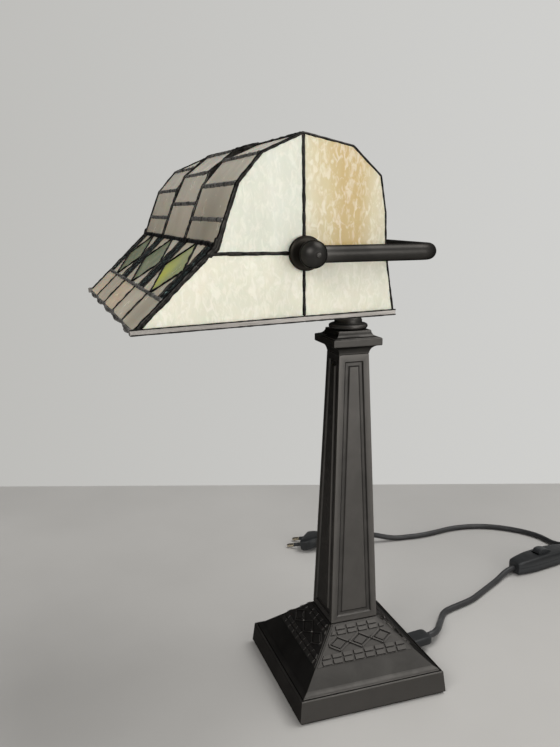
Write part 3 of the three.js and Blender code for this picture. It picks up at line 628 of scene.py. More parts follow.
def plate(shape, corners, outward, cell, ripple, seed):
    """A pane from its outer face's corners. cell and ripple give the rolled surface's waves."""
    pane = bmesh.new()
    pane.faces.new([pane.verts.new(c) for c in corners])
    first = (corners[1] - corners[0]).normalized()
    for direction in (first, outward.cross(first)):
        reach = [c.dot(direction) for c in corners]
        count = int((max(reach) - min(reach)) / cell)
        for k in range(1, count + 1):
            at = min(reach) + k * (max(reach) - min(reach)) / (count + 1)
            geometry = pane.verts[:] + pane.edges[:] + pane.faces[:]
            bmesh.ops.bisect_plane(
                pane, geom=geometry, plane_co=direction * at, plane_no=direction, dist=SAME_PLACE,
            )
    for vert in pane.verts:
        wave = noise.noise(vert.co * 55 + Vector((seed, 0, 0))) + 0.5 * noise.noise(vert.co * 140)
        vert.co += outward * ripple * wave
    made = bmesh.ops.extrude_face_region(pane, geom=pane.faces[:])
    for item in made["geom"]:
        if isinstance(item, bmesh.types.BMVert):
            item.co -= outward * GLASS
    bmesh.ops.recalc_face_normals(pane, faces=pane.faces)
    mesh = bpy.data.meshes.new("pane")
    pane.to_mesh(mesh)
    pane.free()
    shape.from_mesh(mesh)
    bpy.data.meshes.remove(mesh)


def carve(piece, cutter_shape):
    """Cuts a shape out of a piece and keeps the result as the piece's mesh."""
    mesh = bpy.data.meshes.new("cutter")
    bmesh.ops.recalc_face_normals(cutter_shape, faces=cutter_shape.faces)
    cutter_shape.to_mesh(mesh)
    cutter_shape.free()
    cutter = add_object("cutter", mesh)
    cut = piece.modifiers.new("cut", "BOOLEAN")
    cut.object = cutter
    cut.solver = "EXACT"
    bpy.context.view_layer.update()
    seen = piece.evaluated_get(bpy.context.evaluated_depsgraph_get())
    old = piece.data
    piece.data = bpy.data.meshes.new_from_object(seen)
    piece.modifiers.remove(cut)
    bpy.data.objects.remove(cutter)
    bpy.data.meshes.remove(old)


def block(low, high):
    shape = bmesh.new()
    outline = ((low[0], low[1]), (high[0], low[1]), (high[0], high[1]), (low[0], high[1]))
    skin(shape, [[(x, y, z) for x, y in outline] for z in (low[2], high[2])])
    return shape


# ---------- base and column ----------

SLOPE_HALF = 0.0591
SLOPE_Z = 0.0193
COLUMN_FOOT_HALF = 0.0205
COLUMN_FOOT_Z = 0.0548
COLUMN_TOP_HALF = 0.0126
COLUMN_TOP_Z = 0.2782
COLUMN_SEAT_Z = 0.0551
NECK_Z = 0.2973
SLOPE_UP = Vector((COLUMN_FOOT_HALF - SLOPE_HALF, 0, COLUMN_FOOT_Z - SLOPE_Z)).normalized()
SLOPE_OUT = Vector((SLOPE_UP.z, 0, -SLOPE_UP.x))
BRICK = 0.0094
BRICK_GAP = 0.0012
STUD_R = 0.0014
SMALLEST_BRICK = 0.0026
BRICK_ROWS = ((0.0215, 0.0251), (0.0260, 0.0292), (0.0432, 0.0462), (0.0471, 0.0503))
FIELD_ROW = (0.0305, 0.0421)
FIELD_PITCH = 0.0192
FIELD_SIDE_MARGIN = 0.0030
LATH_HALF = 0.0007
LATTICE = [
    ((-1.45, 0.1), (-1, 1)), ((-1.45, -0.1), (-1, -1)), ((-1, 1), (0, -1)), ((-1, -1), (0, 1)),
    ((0, 1), (1, -1)), ((0, -1), (1, 1)), ((1, 1), (1.45, 0.1)), ((1, -1), (1.45, -0.1)),
]


def cavetto(start, end, starts_upright, steps=12):
    points = []
    for i in range(steps + 1):
        angle = i / steps * math.pi / 2
        rise = math.sin(angle) if starts_upright else 1 - math.cos(angle)
        run = 1 - math.cos(angle) if starts_upright else math.sin(angle)
        points.append((start[0] + (end[0] - start[0]) * run, start[1] + (end[1] - start[1]) * rise))
    return points


def slope_half(up):
    return SLOPE_HALF + SLOPE_UP.x * up


def on_slope(across, up, height, quarter):
    point = Vector((SLOPE_HALF, across, SLOPE_Z)) + SLOPE_UP * up + SLOPE_OUT * height
    return Matrix.Rotation(quarter * math.pi / 2, 3, "Z") @ point


def raised(shape, corners, low, high, chamfer, quarter):
    """A plate on a slope of the base from (across, up) corners, drawn in at its top."""
    middle = [sum(c[i] for c in corners) / len(corners) for i in (0, 1)]
    reach = min(math.dist(c, middle) for c in corners)
    share = 1 - chamfer / reach
    top = [[m + (n - m) * share for m, n in zip(middle, corner)] for corner in corners]
    skin(shape, [
        [on_slope(*corner, height, quarter) for corner in ring] for ring, height in ((corners, low), (top, high))
    ])


def clipped(across, up):
    reach = slope_half(up) - FIELD_SIDE_MARGIN
    return (min(max(across, -reach), reach), up)


def emboss(shape, quarter):
    ground, face, sunk = 0.0003, 0.0014, -0.0003
    zone = [(-1, 0.0207), (1, 0.0207), (1, 0.0522), (-1, 0.0522)]
    zone = [(side * (slope_half(up) - 0.0012), up) for side, up in zone]
    raised(shape, zone, sunk, ground, 0.0004, quarter)
    for low, high in BRICK_ROWS:
        for k in range(-5, 5):
            left, right = k * BRICK + BRICK_GAP / 2, (k + 1) * BRICK - BRICK_GAP / 2
            corners = [clipped(left, low), clipped(right, low), clipped(right, high), clipped(left, high)]
            if min(corners[1][0] - corners[0][0], corners[2][0] - corners[3][0]) < SMALLEST_BRICK:
                continue
            raised(shape, corners, 0, face, 0.00035, quarter)
    low, high = FIELD_ROW
    middle = (low + high) / 2
    for lath in LATTICE:
        a, b = [(across * FIELD_PITCH, middle + up * (high - low) / 2) for across, up in lath]
        corners = [(p[0], p[1] + side * LATH_HALF) for p, side in ((a, -1), (b, -1), (b, 1), (a, 1))]
        raised(shape, corners, 0, face + 0.0001, 0.0002, quarter)
    for k in (-1, 0, 1):
        across = k * FIELD_PITCH
        wide, tall = FIELD_PITCH / 2 - 0.0022, (high - low) / 2 - 0.0012
        corners = [(across - wide, middle), (across, middle - tall), (across + wide, middle), (across, middle + tall)]
        raised(shape, corners, 0, face - 0.0002, 0.0008, quarter)
    for k in (-0.5, 0.5):
        spot = on_slope(k * FIELD_PITCH, middle, face, quarter)
        bmesh.ops.create_icosphere(shape, subdivisions=2, radius=STUD_R, matrix=Matrix.Translation(spot))


def make_base():
    shape = square_turned([
        (57.5, 1.8), (63.1, 1.8), (63.5, 2.4), (61.7, 19.0), (61.2, 19.7), (60.6, 19.7), (60.3, 18.4), (59.6, 18.4),
        (59.5, 19.8), (58.8, 20.8), (57.8, 21.5), (56.6, 22.1), (55.7, 22.5), (55.1, 23.0), (21.7, 53.7),
        (20.5, 54.8), (8, 54.8), (8, 49), (18, 49), (52, 18.5), (57, 15),
    ], closed=True)
    finish_piece("base_cover", shape, BRONZE, "base_casting", soften=(0.0004, 20))
    shape = bmesh.new()
    for quarter in range(4):
        emboss(shape, quarter)
    finish_piece("base_relief", shape, BRONZE, soften=(0.00012, 25))
    shape = square_turned([(61.2, 0), (62.0, 0.4), (62.0, 1.2), (61.4, 1.5)])
    finish_piece("felt_sheet", shape, FELT, "felt_pad", soften=(0.0003, 20))


def column_half(z):
    share = (z - COLUMN_FOOT_Z) / (COLUMN_TOP_Z - COLUMN_FOOT_Z)
    return COLUMN_FOOT_HALF + (COLUMN_TOP_HALF - COLUMN_FOOT_HALF) * share


PANEL_LOW_Z = 0.0606
PANEL_HIGH_Z = 0.2726
PANEL_STILE = 0.0051
COLUMN_RINGS = (
    (0.0, 0.0), (0.0003, 0.0004), (0.0009, 0.0013), (0.0030, 0.0013), (0.0037, 0.0010), (0.0040, 0.0003),
    (0.0044, 0.0),
)


def make_column():
    """Each face is a frame, a sunk channel round it and a raised field in the middle."""
    shape = bmesh.new()
    foot, knee = COLUMN_SEAT_Z, COLUMN_SEAT_Z + 0.0007
    for quarter in range(4):
        turn = Matrix.Rotation(quarter * math.pi / 2, 3, "Z")

        def corner(side, z, margin=0.0, depth=0.0):
            return shape.verts.new(turn @ Vector((column_half(z) - depth, side * (column_half(z) - margin), z)))

        toe = [corner(-1, foot, 0.0003, 0.0003), corner(1, foot, 0.0003, 0.0003)]
        rings = [[corner(-1, knee), corner(1, knee), corner(1, COLUMN_TOP_Z), corner(-1, COLUMN_TOP_Z)]]
        shape.faces.new((toe[0], toe[1], rings[0][1], rings[0][0]))
        for margin, depth in COLUMN_RINGS:
            low, high = PANEL_LOW_Z + margin, PANEL_HIGH_Z - margin
            rings.append([
                corner(side, z, PANEL_STILE + margin, depth)
                for side, z in ((-1, low), (1, low), (1, high), (-1, high))
            ])
        for outer, inner in zip(rings, rings[1:]):
            for i in range(4):
                j = (i + 1) % 4
                shape.faces.new((outer[i], outer[j], inner[j], inner[i]))
        shape.faces.new(rings[-1])
    bmesh.ops.remove_doubles(shape, verts=shape.verts, dist=SAME_PLACE)
    bmesh.ops.holes_fill(shape, edges=[e for e in shape.edges if e.is_boundary], sides=4)
    finish_piece("column_body", shape, COLUMN_BRONZE_PAINTED_LIT, "column_shaft", soften=(0.0002, 12))


def make_capital():
    shape = square_turned([
        *cavetto((12.8, 278.5), (20.0, 285.5), True), (20.4, 286.0), (20.4, 291.0), (19.8, 291.4), (18.8, 291.5),
        *cavetto((18.4, 291.9), (13.7, 297.0), False), (4.0, 297.0), (4.0, 278.5),
    ], closed=True)
    finish_piece("capital_moulding", shape, BRONZE, "capital", soften=(0.0004, 35))
    shape = lathe([
        (5.6, 0), (13.6, 0), (14.6, 0.6), (15.3, 1.6), (15.4, 2.6), (15.0, 3.5), (14.1, 4.0), (12.4, 4.2),
        (11.3, 4.7), (10.9, 5.6), (10.9, 6.8), (10.3, 8.2), (9.1, 9.6), (7.5, 10.6), (5.6, 10.8),
    ], 72, start=NECK_Z, closed=True)
    finish_piece("neck_ring", shape, BRONZE, "neck_collar", sharp=40)


make_base()
make_column()
make_capital()

# ---------- yoke, hinge and lamp fittings ----------

PIVOT_Y = -0.084
PIVOT_Z = 0.364
PIVOT = Vector((0, PIVOT_Y, PIVOT_Z))
ARM_X = 0.1395
BACK_BAR_Y = -0.0065
TUBE_R = 0.005
CORNER_R = 0.010
SHADE_HALF = 0.1246
SADDLE_LOW = PIVOT_Z - 0.014
HOLDER_BACK_X = -0.1107
CAP_BACK_X = -0.086
GLOBE_BACK_X = -0.0587


def yoke_line():
    half = [Vector((ARM_X, PIVOT_Y + 0.004 + 0.059 * i / 8, PIVOT_Z)) for i in range(9)]
    corner = arc((ARM_X - CORNER_R, BACK_BAR_Y - CORNER_R), CORNER_R, 0, math.pi / 2, 14)[1:]
    half += [Vector((x, y, PIVOT_Z)) for x, y in (*corner, (0.06, BACK_BAR_Y), (0.01, BACK_BAR_Y))]
    return half + [Vector((-p.x, p.y, p.z)) for p in reversed(half)]


def make_yoke():
    shape = bmesh.new()
    ring = circle(TUBE_R, 40)
    sweep(shape, yoke_line(), lambda i: ring)
    finish_piece("yoke_bar", shape, BRONZE, "yoke_tube")
    shape = lathe([(3.5, 305.6), (5, 305.6), (5, 358), (3.5, 358)], 48, closed=True)
    finish_piece("stem", shape, BRONZE, "stem_tube")
    shape = lathe([
        (0, 0), (6.0, 0), (6.8, 0.8), (7.0, 2.0), (7.9, 3.2), (8.0, 4.5), (8.0, 19.0), (7.7, 20.2), (6.6, 21.5),
        (3.5, 22.1), (0, 22.2),
    ], start=SADDLE_LOW)
    hub = finish_piece("yoke_saddle", shape, BRONZE, "yoke_hub")
    carve(hub, block((-0.02, -0.02, SADDLE_LOW - 0.01), (0.02, BACK_BAR_Y - 0.0002, PIVOT_Z + 0.02)))
    carve(hub, lathe([(5.3, -2), (5.3, 8.5)], 48, start=SADDLE_LOW))


def make_hinge(side, name):
    ball = arc((0, 0), 8.2, -math.pi / 2, math.pi / 2, 36)
    pip = [(1.6, 8.1), (1.5, 8.6), (1.0, 8.8), (0, 8.8)]
    ball = [(radius, along) for radius, along in ball if radius > 1.7 or along < 0]
    shape = lathe(ball + pip, 56, PIVOT, start=ARM_X, side=side)
    lathe([(5, 111), (5, 135.5)], 40, PIVOT, side=side, shape=shape)
    finish_piece(f"hinge_ball_{name}", shape, BRONZE, f"pivot_ball_{name}", sharp=50)
    shape = lathe([
        (5.1, 0), (9.6, 0), (10.2, 0.6), (10.2, 3.2), (9.8, 3.8), (8.4, 4.0), (5.1, 4.0),
    ], 64, PIVOT, start=SHADE_HALF + 0.0009, side=side, closed=True)
    finish_piece(f"hinge_disc_{name}", shape, DARK_BRONZE, f"pivot_disc_{name}", sharp=50)


def make_light():
    profile = [(4.0, 0), (11.5, 0), (12.8, 0.8), (15.2, 4.0), (17.2, 9.0), (17.8, 11.0)]
    for k in range(8):
        at = 12 + 3.1 * k
        profile += [(18.0, at), (18.0, at + 1.6), (17.4, at + 2.1), (17.4, at + 2.6)]
    profile += [
        (18.2, 37.1), (20.0, 38.1), (20.5, 39.1), (20.5, 42.1), (19.9, 43.1), (19.1, 43.7), (19.0, 49.9),
        (18.4, 50.7), (15.0, 50.7), (14.5, 50.1), (14.5, 23.7), (4.0, 23.7),
    ]
    shape = lathe(profile, 72, PIVOT, start=HOLDER_BACK_X, closed=True)
    finish_piece("lampholder_body", shape, PHENOLIC, "lampholder", sharp=38)
    profile = [(0, 0), (4.6, 0), (5.6, 0.8), (7.8, 3.0), (11.0, 5.6)]
    for k in range(5):
        at = 6.2 + 3.6 * k
        profile += [(11.9, at), (12.8, at + 1.1), (12.8, at + 1.9), (11.9, at + 3.0)]
    profile += [(12.7, 24.8), (12.7, 26.8), (0, 26.8)]
    finish_piece("bulb_screw_cap", lathe(profile, 64, PIVOT, start=CAP_BACK_X), BRASS, "bulb_cap", sharp=60)
    profile = [(0, 0), (12.6, 0), (13.2, 0.6), (13.8, 4.5), (14.7, 9.0), (16.4, 14.0), (19.2, 20.5), (21.6, 25.8)]
    profile += arc((0, 50), 30, -0.66, math.pi / 2, 22)
    finish_piece("bulb_globe", lathe(profile, 72, PIVOT, start=GLOBE_BACK_X), OPAL, "bulb_glass", sharp=50)


make_yoke()
make_hinge(1, "right")
make_hinge(-1, "left")
make_light()

# ---------- shade ----------

HEM_FRONT = (-0.1862, 0.3228)
KNEE = (-0.1374, 0.3699)
SHOULDER_LOW = (-0.1246, 0.4044)
SHOULDER_HIGH = (-0.1098, 0.4213)
RIDGE = (-0.0845, 0.4325)
CROWN_REAR = (-0.0529, 0.4256)
REAR_HIGH = (-0.0344, 0.4086)
REAR_MID = (-0.0308, 0.3871)
REAR_LOW = (-0.0302, PIVOT_Z)
HEM_REAR = (-0.0244, 0.3270)
HEM_MIDDLE = (-0.0838, 0.3256)
LEAD_A = (-0.1323, 0.3837)
LEAD_B = (-0.1286, 0.3937)
LEAD_C = (-0.1187, 0.4142)
LEAD_D = (-0.1004, 0.4287)
EDGE_STRIP = [KNEE, LEAD_A, SHOULDER_LOW, SHOULDER_HIGH, RIDGE]
MIDDLE_STRIP = [KNEE, LEAD_B, LEAD_C, LEAD_D, RIDGE]
REAR_STRIP = [RIDGE, CROWN_REAR, REAR_HIGH, REAR_MID, REAR_LOW, HEM_REAR]
STRIP_X = (-0.1211, -0.0404, 0.0404, 0.1211)
STRIP_NAMES = ("far", "middle", "near")
GLASS = 0.0026
GLASS_SINK = 0.0009
GLASS_MARGIN = 0.0005
SKIRT_LENGTH = math.dist(HEM_FRONT, KNEE)
SKIRT_SPLIT = 0.0244
SKIRT_STRIPS = ((-0.1211, -0.1075), (-0.0505, -0.0303), (0.0303, 0.0505), (0.1075, 0.1211))
SKIRT_CELLS = ((-0.1075, -0.0505), (-0.0303, 0.0303), (0.0505, 0.1075))
HEM_PANE_X = (-0.1211, -0.0748, -0.0249, 0.0249, 0.0748, 0.1211)
SKIRT_MIDDLE = (SKIRT_SPLIT + SKIRT_LENGTH) / 2
SKIRT_MARGIN = GLASS_MARGIN * 1.6
GLASS_CELL = 0.006
GLASS_RIPPLE = 0.00005
STRIP_RIPPLE = 0.00022
END_CELL = 0.0035
END_RIPPLE = 0.00011
END_SINK = 0.0003
OUTER_MARGIN = 0.0009
LEAD_MARGIN = 0.0006
LEAD_SINK = GLASS_SINK + GLASS / 2
STRIP_LEAD_SINK = Vector((0, -0.0008, 0.0008))


def at_x(x, place):
    return Vector((x, place[0], place[1]))


def outward_of(a, b):
    return Vector((0, a[1] - b[1], b[0] - a[0])).normalized()


def outward_at(line, i):
    """The outward direction at a point of a section line, between those of the sides that meet there."""
    sides = [outward_of(a, b) for a, b in zip(line[max(i - 1, 0):i + 1], line[max(i, 1):i + 2])]
    return sum(sides, Vector((0, 0, 0))).normalized()


def sheet_pane(shape, x0, x1, a, b, seed):
    """A pane of the roof between two section points and two strip edges."""
    out = outward_of(a, b)
    along = (at_x(0, b) - at_x(0, a)).normalized() * GLASS_MARGIN
    x0, x1 = x0 + GLASS_MARGIN, x1 - GLASS_MARGIN
    corners = [at_x(x0, a) + along, at_x(x1, a) + along, at_x(x1, b) - along, at_x(x0, b) - along]
    plate(shape, [c - out * GLASS_SINK for c in corners], out, GLASS_CELL, GLASS_RIPPLE, seed)


def make_roof_glass():
    for index, name in enumerate(STRIP_NAMES):
        strip = MIDDLE_STRIP if name == "middle" else EDGE_STRIP
        shape = bmesh.new()
        for k, (a, b) in enumerate(zip(strip, strip[1:])):
            sheet_pane(shape, *STRIP_X[index:index + 2], a, b, index * 7 + k)
        nodes = [f"roof_glass_{row}_{name}" for row in ("lower", "middle", "upper")]
        shade_piece(f"roof_panes_{name}", shape, ROOF_GLASS, *nodes, sharp=25)
    for k, row in enumerate(("crown", "upper", "middle", "wall", "lower")):
        shape = bmesh.new()
        for index in range(3):
            sheet_pane(shape, *STRIP_X[index:index + 2], *REAR_STRIP[k:k + 2], 31 + index * 5 + k)
        shade_piece(f"rear_panes_{row}", shape, ROOF_GLASS, f"rear_glass_{row}", sharp=25)


SKIRT_UP = (at_x(0, KNEE) - at_x(0, HEM_FRONT)).normalized()
SKIRT_OUT = outward_of(HEM_FRONT, KNEE)


def on_skirt(x, up, height=0.0):
    return at_x(x, HEM_FRONT) + SKIRT_UP * up + SKIRT_OUT * height


def skirt_pane(shape, corners, seed, ripple=GLASS_RIPPLE):
    middle = [sum(c[i] for c in corners) / len(corners) for i in (0, 1)]
    drawn = []
    for corner in corners:
        share = 1 - SKIRT_MARGIN / math.dist(corner, middle)
        drawn.append(on_skirt(*(m + (n - m) * share for m, n in zip(middle, corner)), -GLASS_SINK))
    plate(shape, drawn, SKIRT_OUT, GLASS_CELL, ripple, seed)


def make_skirt_glass():
    low, middle, top = SKIRT_SPLIT, SKIRT_MIDDLE, SKIRT_LENGTH
    corners = bmesh.new()
    for index, name in enumerate(STRIP_NAMES):
        left, right = SKIRT_CELLS[index]
        centre = (left + right) / 2
        shape = bmesh.new()
        skirt_pane(shape, [(centre, low), (right, middle), (centre, top), (left, middle)], index)
        glass = OLIVE_WITH_PAINTED_GLOW if name == "near" else GREEN
        shade_piece(f"skirt_diamond_{name}", shape, glass, f"skirt_diamond_glass_{name}", sharp=25)
        for side in (left, right):
            skirt_pane(corners, [(side, low), (centre, low), (side, middle)], index + 3)
            skirt_pane(corners, [(side, middle), (centre, top), (side, top)], index + 6)
    nodes = [f"skirt_diamond_glass_{name}" for name in STRIP_NAMES]
    shade_piece("skirt_corner_panes", corners, SKIRT_CREAM, *nodes, sharp=25)
    dark, cream, peach = bmesh.new(), bmesh.new(), bmesh.new()
    for index, (left, right) in enumerate(SKIRT_STRIPS):
        skirt_pane(dark, [(left, low), (right, low), (right, top), (left, top)], index, STRIP_RIPPLE)
    shade_piece("skirt_dark_strips", dark, RIPPLE, *nodes, sharp=60)
    for k, (left, right) in enumerate(zip(HEM_PANE_X, HEM_PANE_X[1:])):
        pane = [(left, 0.0006), (right, 0.0006), (right, low), (left, low)]
        skirt_pane(peach if k in (0, 2) else cream, pane, k + 11)
    shade_piece("skirt_hem_panes_cream", cream, SKIRT_CREAM, "skirt_lower_glass", sharp=25)
    shade_piece("skirt_hem_panes_peach", peach, PEACH, "skirt_lower_glass", sharp=25)


def inset(points, distances):
    """A closed (y, z) outline, each side drawn in by its own distance."""
    count = len(points)
    area = sum(
        points[i][0] * points[(i + 1) % count][1] - points[(i + 1) % count][0] * points[i][1] for i in range(count)
    )
    turn = math.copysign(1, area)
    lines = []
    for i in range(count):
        a, b = Vector(points[i]), Vector(points[(i + 1) % count])
        along = (b - a).normalized()
        lines.append((a + Vector((-along.y, along.x)) * distances[i] * turn, along))
    drawn = []
    for i in range(count):
        (p, d), (q, e) = lines[i - 1], lines[i]
        cross = d.x * e.y - d.y * e.x
        gap = q - p
        drawn.append(tuple(p + d * ((gap.x * e.y - gap.y * e.x) / cross)))
    return drawn


def rounded_at_pivot(points, radius=0.0070, steps=7):
    """Swaps the corner on the hinge line for an arc round the spigot."""
    pivot = Vector((PIVOT_Y, PIVOT_Z))
    spot = min(range(len(points)), key=lambda i: (Vector(points[i]) - pivot).length)
    before = (Vector(points[spot - 1]) - pivot).normalized()
    after = (Vector(points[(spot + 1) % len(points)]) - pivot).normalized()
    arc = []
    for k in range(steps + 1):
        direction = before.lerp(after, k / steps)
        arc.append(tuple(pivot + direction.normalized() * radius))
    return points[:spot] + arc + points[spot + 1:]


def make_end_glass(side, name):
    pivot = (PIVOT_Y, PIVOT_Z)
    front = (KNEE[0] - 0.0061, PIVOT_Z)
    o, i = OUTER_MARGIN, LEAD_MARGIN
    panes = [
        ("upper_front", PEARL, [front, KNEE, SHOULDER_LOW, SHOULDER_HIGH, RIDGE, pivot], (o, o, o, o, i, i)),
        ("upper_rear", AMBER, [pivot, RIDGE, CROWN_REAR, REAR_HIGH, REAR_MID, REAR_LOW], (i, o, o, o, o, i)),
        ("lower_front", PEARL_LOW, [HEM_FRONT, front, pivot, HEM_MIDDLE], (o, i, i, i)),
        ("lower_rear", PEARL_LOW, [HEM_MIDDLE, pivot, REAR_LOW, HEM_REAR], (i, i, o, i)),
    ]
    for seed, (pane, glass, points, margins) in enumerate(panes):
        outline = rounded_at_pivot(inset(points, margins))
        corners = [at_x(side * (SHADE_HALF - END_SINK), p) for p in outline]
        shape = bmesh.new()
        plate(shape, corners, Vector((side, 0, 0)), END_CELL, END_RIPPLE, seed + 3 * side)
        shade_piece(f"end_pane_{pane}_{name}", shape, glass, f"end_glass_{pane}_{name}", sharp=25)


EDGE_LINE = [
    HEM_FRONT, KNEE, SHOULDER_LOW, SHOULDER_HIGH, RIDGE, CROWN_REAR, REAR_HIGH, REAR_MID, REAR_LOW, HEM_REAR,
]
EDGE_HALVES = [0.0019, 0.0018, 0.00125, 0.00105, 0.00095, 0.00095, 0.0009, 0.0009, 0.0009, 0.0010]


def make_end_leads(side, name):
    facing = Vector((side, 0, 0))
    middle = side * (SHADE_HALF - END_SINK - GLASS / 2)
    shape = bmesh.new()
    upright, level, boss = 0.0013, 0.0014, 0.0085
    runs = [
        ((RIDGE[0], RIDGE[1] - 0.001), (PIVOT_Y, PIVOT_Z + boss), upright),
        ((PIVOT_Y, PIVOT_Z - boss), (HEM_MIDDLE[0], HEM_MIDDLE[1] + 0.001), upright),
        ((KNEE[0] - 0.0040, PIVOT_Z + 0.0006), (PIVOT_Y - boss, PIVOT_Z), level),
        ((PIVOT_Y + boss, PIVOT_Z), (REAR_LOW[0] - 0.001, REAR_LOW[1]), level),
    ]
    for k, (a, b, half) in enumerate(runs):
        line = [at_x(middle, a), at_x(middle, b)]
        bead(shape, line, half, GLASS / 2 + 0.0009, facing, k + 20 * side, lumps=0.10)
    edge = side * (SHADE_HALF - 0.0016)
    points = [
        at_x(edge, place) - outward_at(EDGE_LINE, i) * EDGE_HALVES[i] * 0.95 for i, place in enumerate(EDGE_LINE)
    ]
    bead(shape, points, EDGE_HALVES, 0.0019, facing, 7 * side, lumps=0.15, count=12)
    knee = at_x(edge, (KNEE[0] + 0.0008, KNEE[1] - 0.0022))
    points = [knee - SKIRT_UP * 0.007, knee, knee + Vector((0, 0.002, 0.006))]
    bead(shape, points, 0.0024, 0.0022, facing, 3 * side, lumps=0.06, count=12)
    shade_piece(f"end_leads_{name}", shape, SOLDER, f"end_came_{name}", sharp=80)
    shape = lathe([
        (5.4, -3.4), (9.2, -3.4), (9.8, -2.6), (9.8, -0.2), (9.2, 0.4), (5.4, 0.5),
    ], 56, PIVOT, start=SHADE_HALF, side=side, closed=True)
    shade_piece(f"end_boss_{name}", shape, SOLDER, f"end_came_{name}", sharp=50)


def make_hem_rim(side, name):
    """A channel under each end panel, in two lengths that overlap at the upright lead."""
    shape, lines = bmesh.new(), bmesh.new()
    low, high, inner, outer, wall = -0.0021, 0.0012, 0.1203, 0.1254, 0.0008
    front, rear = (HEM_FRONT[0] - 0.0012, HEM_FRONT[1] - 0.0001), (HEM_REAR[0] + 0.0006, HEM_REAR[1])
    for k, (a, b) in enumerate(((front, HEM_MIDDLE), (HEM_MIDDLE, rear))):
        start, end = at_x(0, a), at_x(0, b)
        along = (end - start).normalized()
        up = ALONG_X.cross(along)
        lift = 0.0002 * k
        floor = low + 0.0009
        section = [
            (inner + lift, low), (outer - lift, low), (outer - lift, high), (outer - wall, high),
            (outer - wall, floor), (inner + wall, floor), (inner + wall, high), (inner + lift, high),
        ]
        line = (start - along * 0.0008 * k, start.lerp(end, 0.33), start.lerp(end, 0.67), end)
        skin(shape, [[point + ALONG_X * side * x + up * z for x, z in section] for point in line])
        for z in (low + 0.0002, high):
            line = [start + ALONG_X * side * outer + up * z, end + ALONG_X * side * outer + up * z]
            bead(lines, line, 0.00042, 0.0004, up, 40 + k, lumps=0.3, count=8)
    shade_piece(f"hem_rim_{name}", shape, RIM_METAL, f"end_came_{name}", soften=(0.00025, 30))
    shade_piece(f"hem_rim_edges_{name}", lines, SOLDER, f"end_came_{name}", sharp=80)


def make_roof_leads():
    shape, grey = bmesh.new(), bmesh.new()
    deep = GLASS / 2 + 0.0011
    whole = (STRIP_X[0], STRIP_X[-1])
    seed = 0

    def across(target, xs, place, out, sink, half, depth, seed, lumps=0.2):
        bead(target, [at_x(x, place) - out * sink for x in xs], half, depth, out, seed, lumps)

    for index, name in enumerate(STRIP_NAMES):
        strip = MIDDLE_STRIP if name == "middle" else EDGE_STRIP
        for k in range(1, len(strip) - 1):
            seed += 1
            xs = STRIP_X[index:index + 2]
            across(grey, xs, strip[k], outward_at(strip, k), LEAD_SINK, 0.0017, deep, seed, 0.18)
    across(shape, whole, KNEE, outward_at([HEM_FRONT, KNEE, LEAD_A], 1), 0.0018, 0.0019, deep, 50, 0.25)
    across(shape, whole, RIDGE, UP, 0.0016, 0.0015, 0.0017, 51, 0.18)
    for x in STRIP_X[1:3]:
        for strip in (EDGE_STRIP, MIDDLE_STRIP):
            seed += 1
            bead(shape, [at_x(x, p) - STRIP_LEAD_SINK for p in strip], 0.0017, 0.0011, ALONG_X, seed, lumps=0.2)
        web_between(shape, x)
    for k in range(1, len(REAR_STRIP) - 1):
        across(shape, whole, REAR_STRIP[k], outward_at(REAR_STRIP, k), LEAD_SINK, 0.0014, deep, 60 + k)
    for x in STRIP_X[1:3]:
        for k, (a, b) in enumerate(zip(REAR_STRIP, REAR_STRIP[1:])):
            out = outward_of(a, b)
            bead(shape, [at_x(x, p) - out * LEAD_SINK for p in (a, b)], 0.0012, deep, out, 70 + k, lumps=0.2)
    rear = outward_of(REAR_LOW, HEM_REAR)
    hem = [at_x(x, HEM_REAR) - rear * LEAD_SINK + UP * 0.0005 for x in whole]
    bead(shape, hem, 0.0015, deep, rear, 80, lumps=0.2)
    shade_piece("roof_leads", shape, SOLDER, "roof_came", sharp=80)
    shade_piece("roof_cross_leads", grey, TINNED_AND_LIT_SOLDER, "roof_came", sharp=80)


def place_along(strip, share):
    """The point at a share of a strip's length."""
    lengths = [math.dist(a, b) for a, b in zip(strip, strip[1:])]
    left = share * sum(lengths)
    for a, b, length in zip(strip, strip[1:], lengths):
        if left <= length or b is strip[-1]:
            return Vector(a).lerp(Vector(b), min(left / length, 1))
        left -= length


def web_between(shape, x):
    """Solder that fills the step between the middle strip and its neighbour."""
    rows = []
    for i in range(25):
        share = 0.02 + 0.96 * i / 24
        p, q = place_along(EDGE_STRIP, share), place_along(MIDDLE_STRIP, share)
        out = Vector((-0.62, 0.78)) if share > 0.45 else Vector((-0.9, 0.42))
        top, low = (p, q) if p.dot(out) > q.dot(out) else (q, p)
        top, low = top - out * 0.0004, low - out * 0.0026
        rows.append([
            at_x(x + side * 0.0007, place) for side, place in ((-1, low), (1, low), (1, top), (-1, top))
        ])
    skin(shape, rows)


HEM_SCALLOP = ((0.0, 0.0), (0.12, 0.0002), (0.32, 0.0011), (0.5, 0.0015), (0.68, 0.0011), (0.88, 0.0002), (1.0, 0.0))
HEM_SCALLOP_HALVES = [0.0019, 0.0011, 0.0013, 0.0017, 0.0013, 0.0011, 0.0019]
HEM_LEVEL = 0.0007


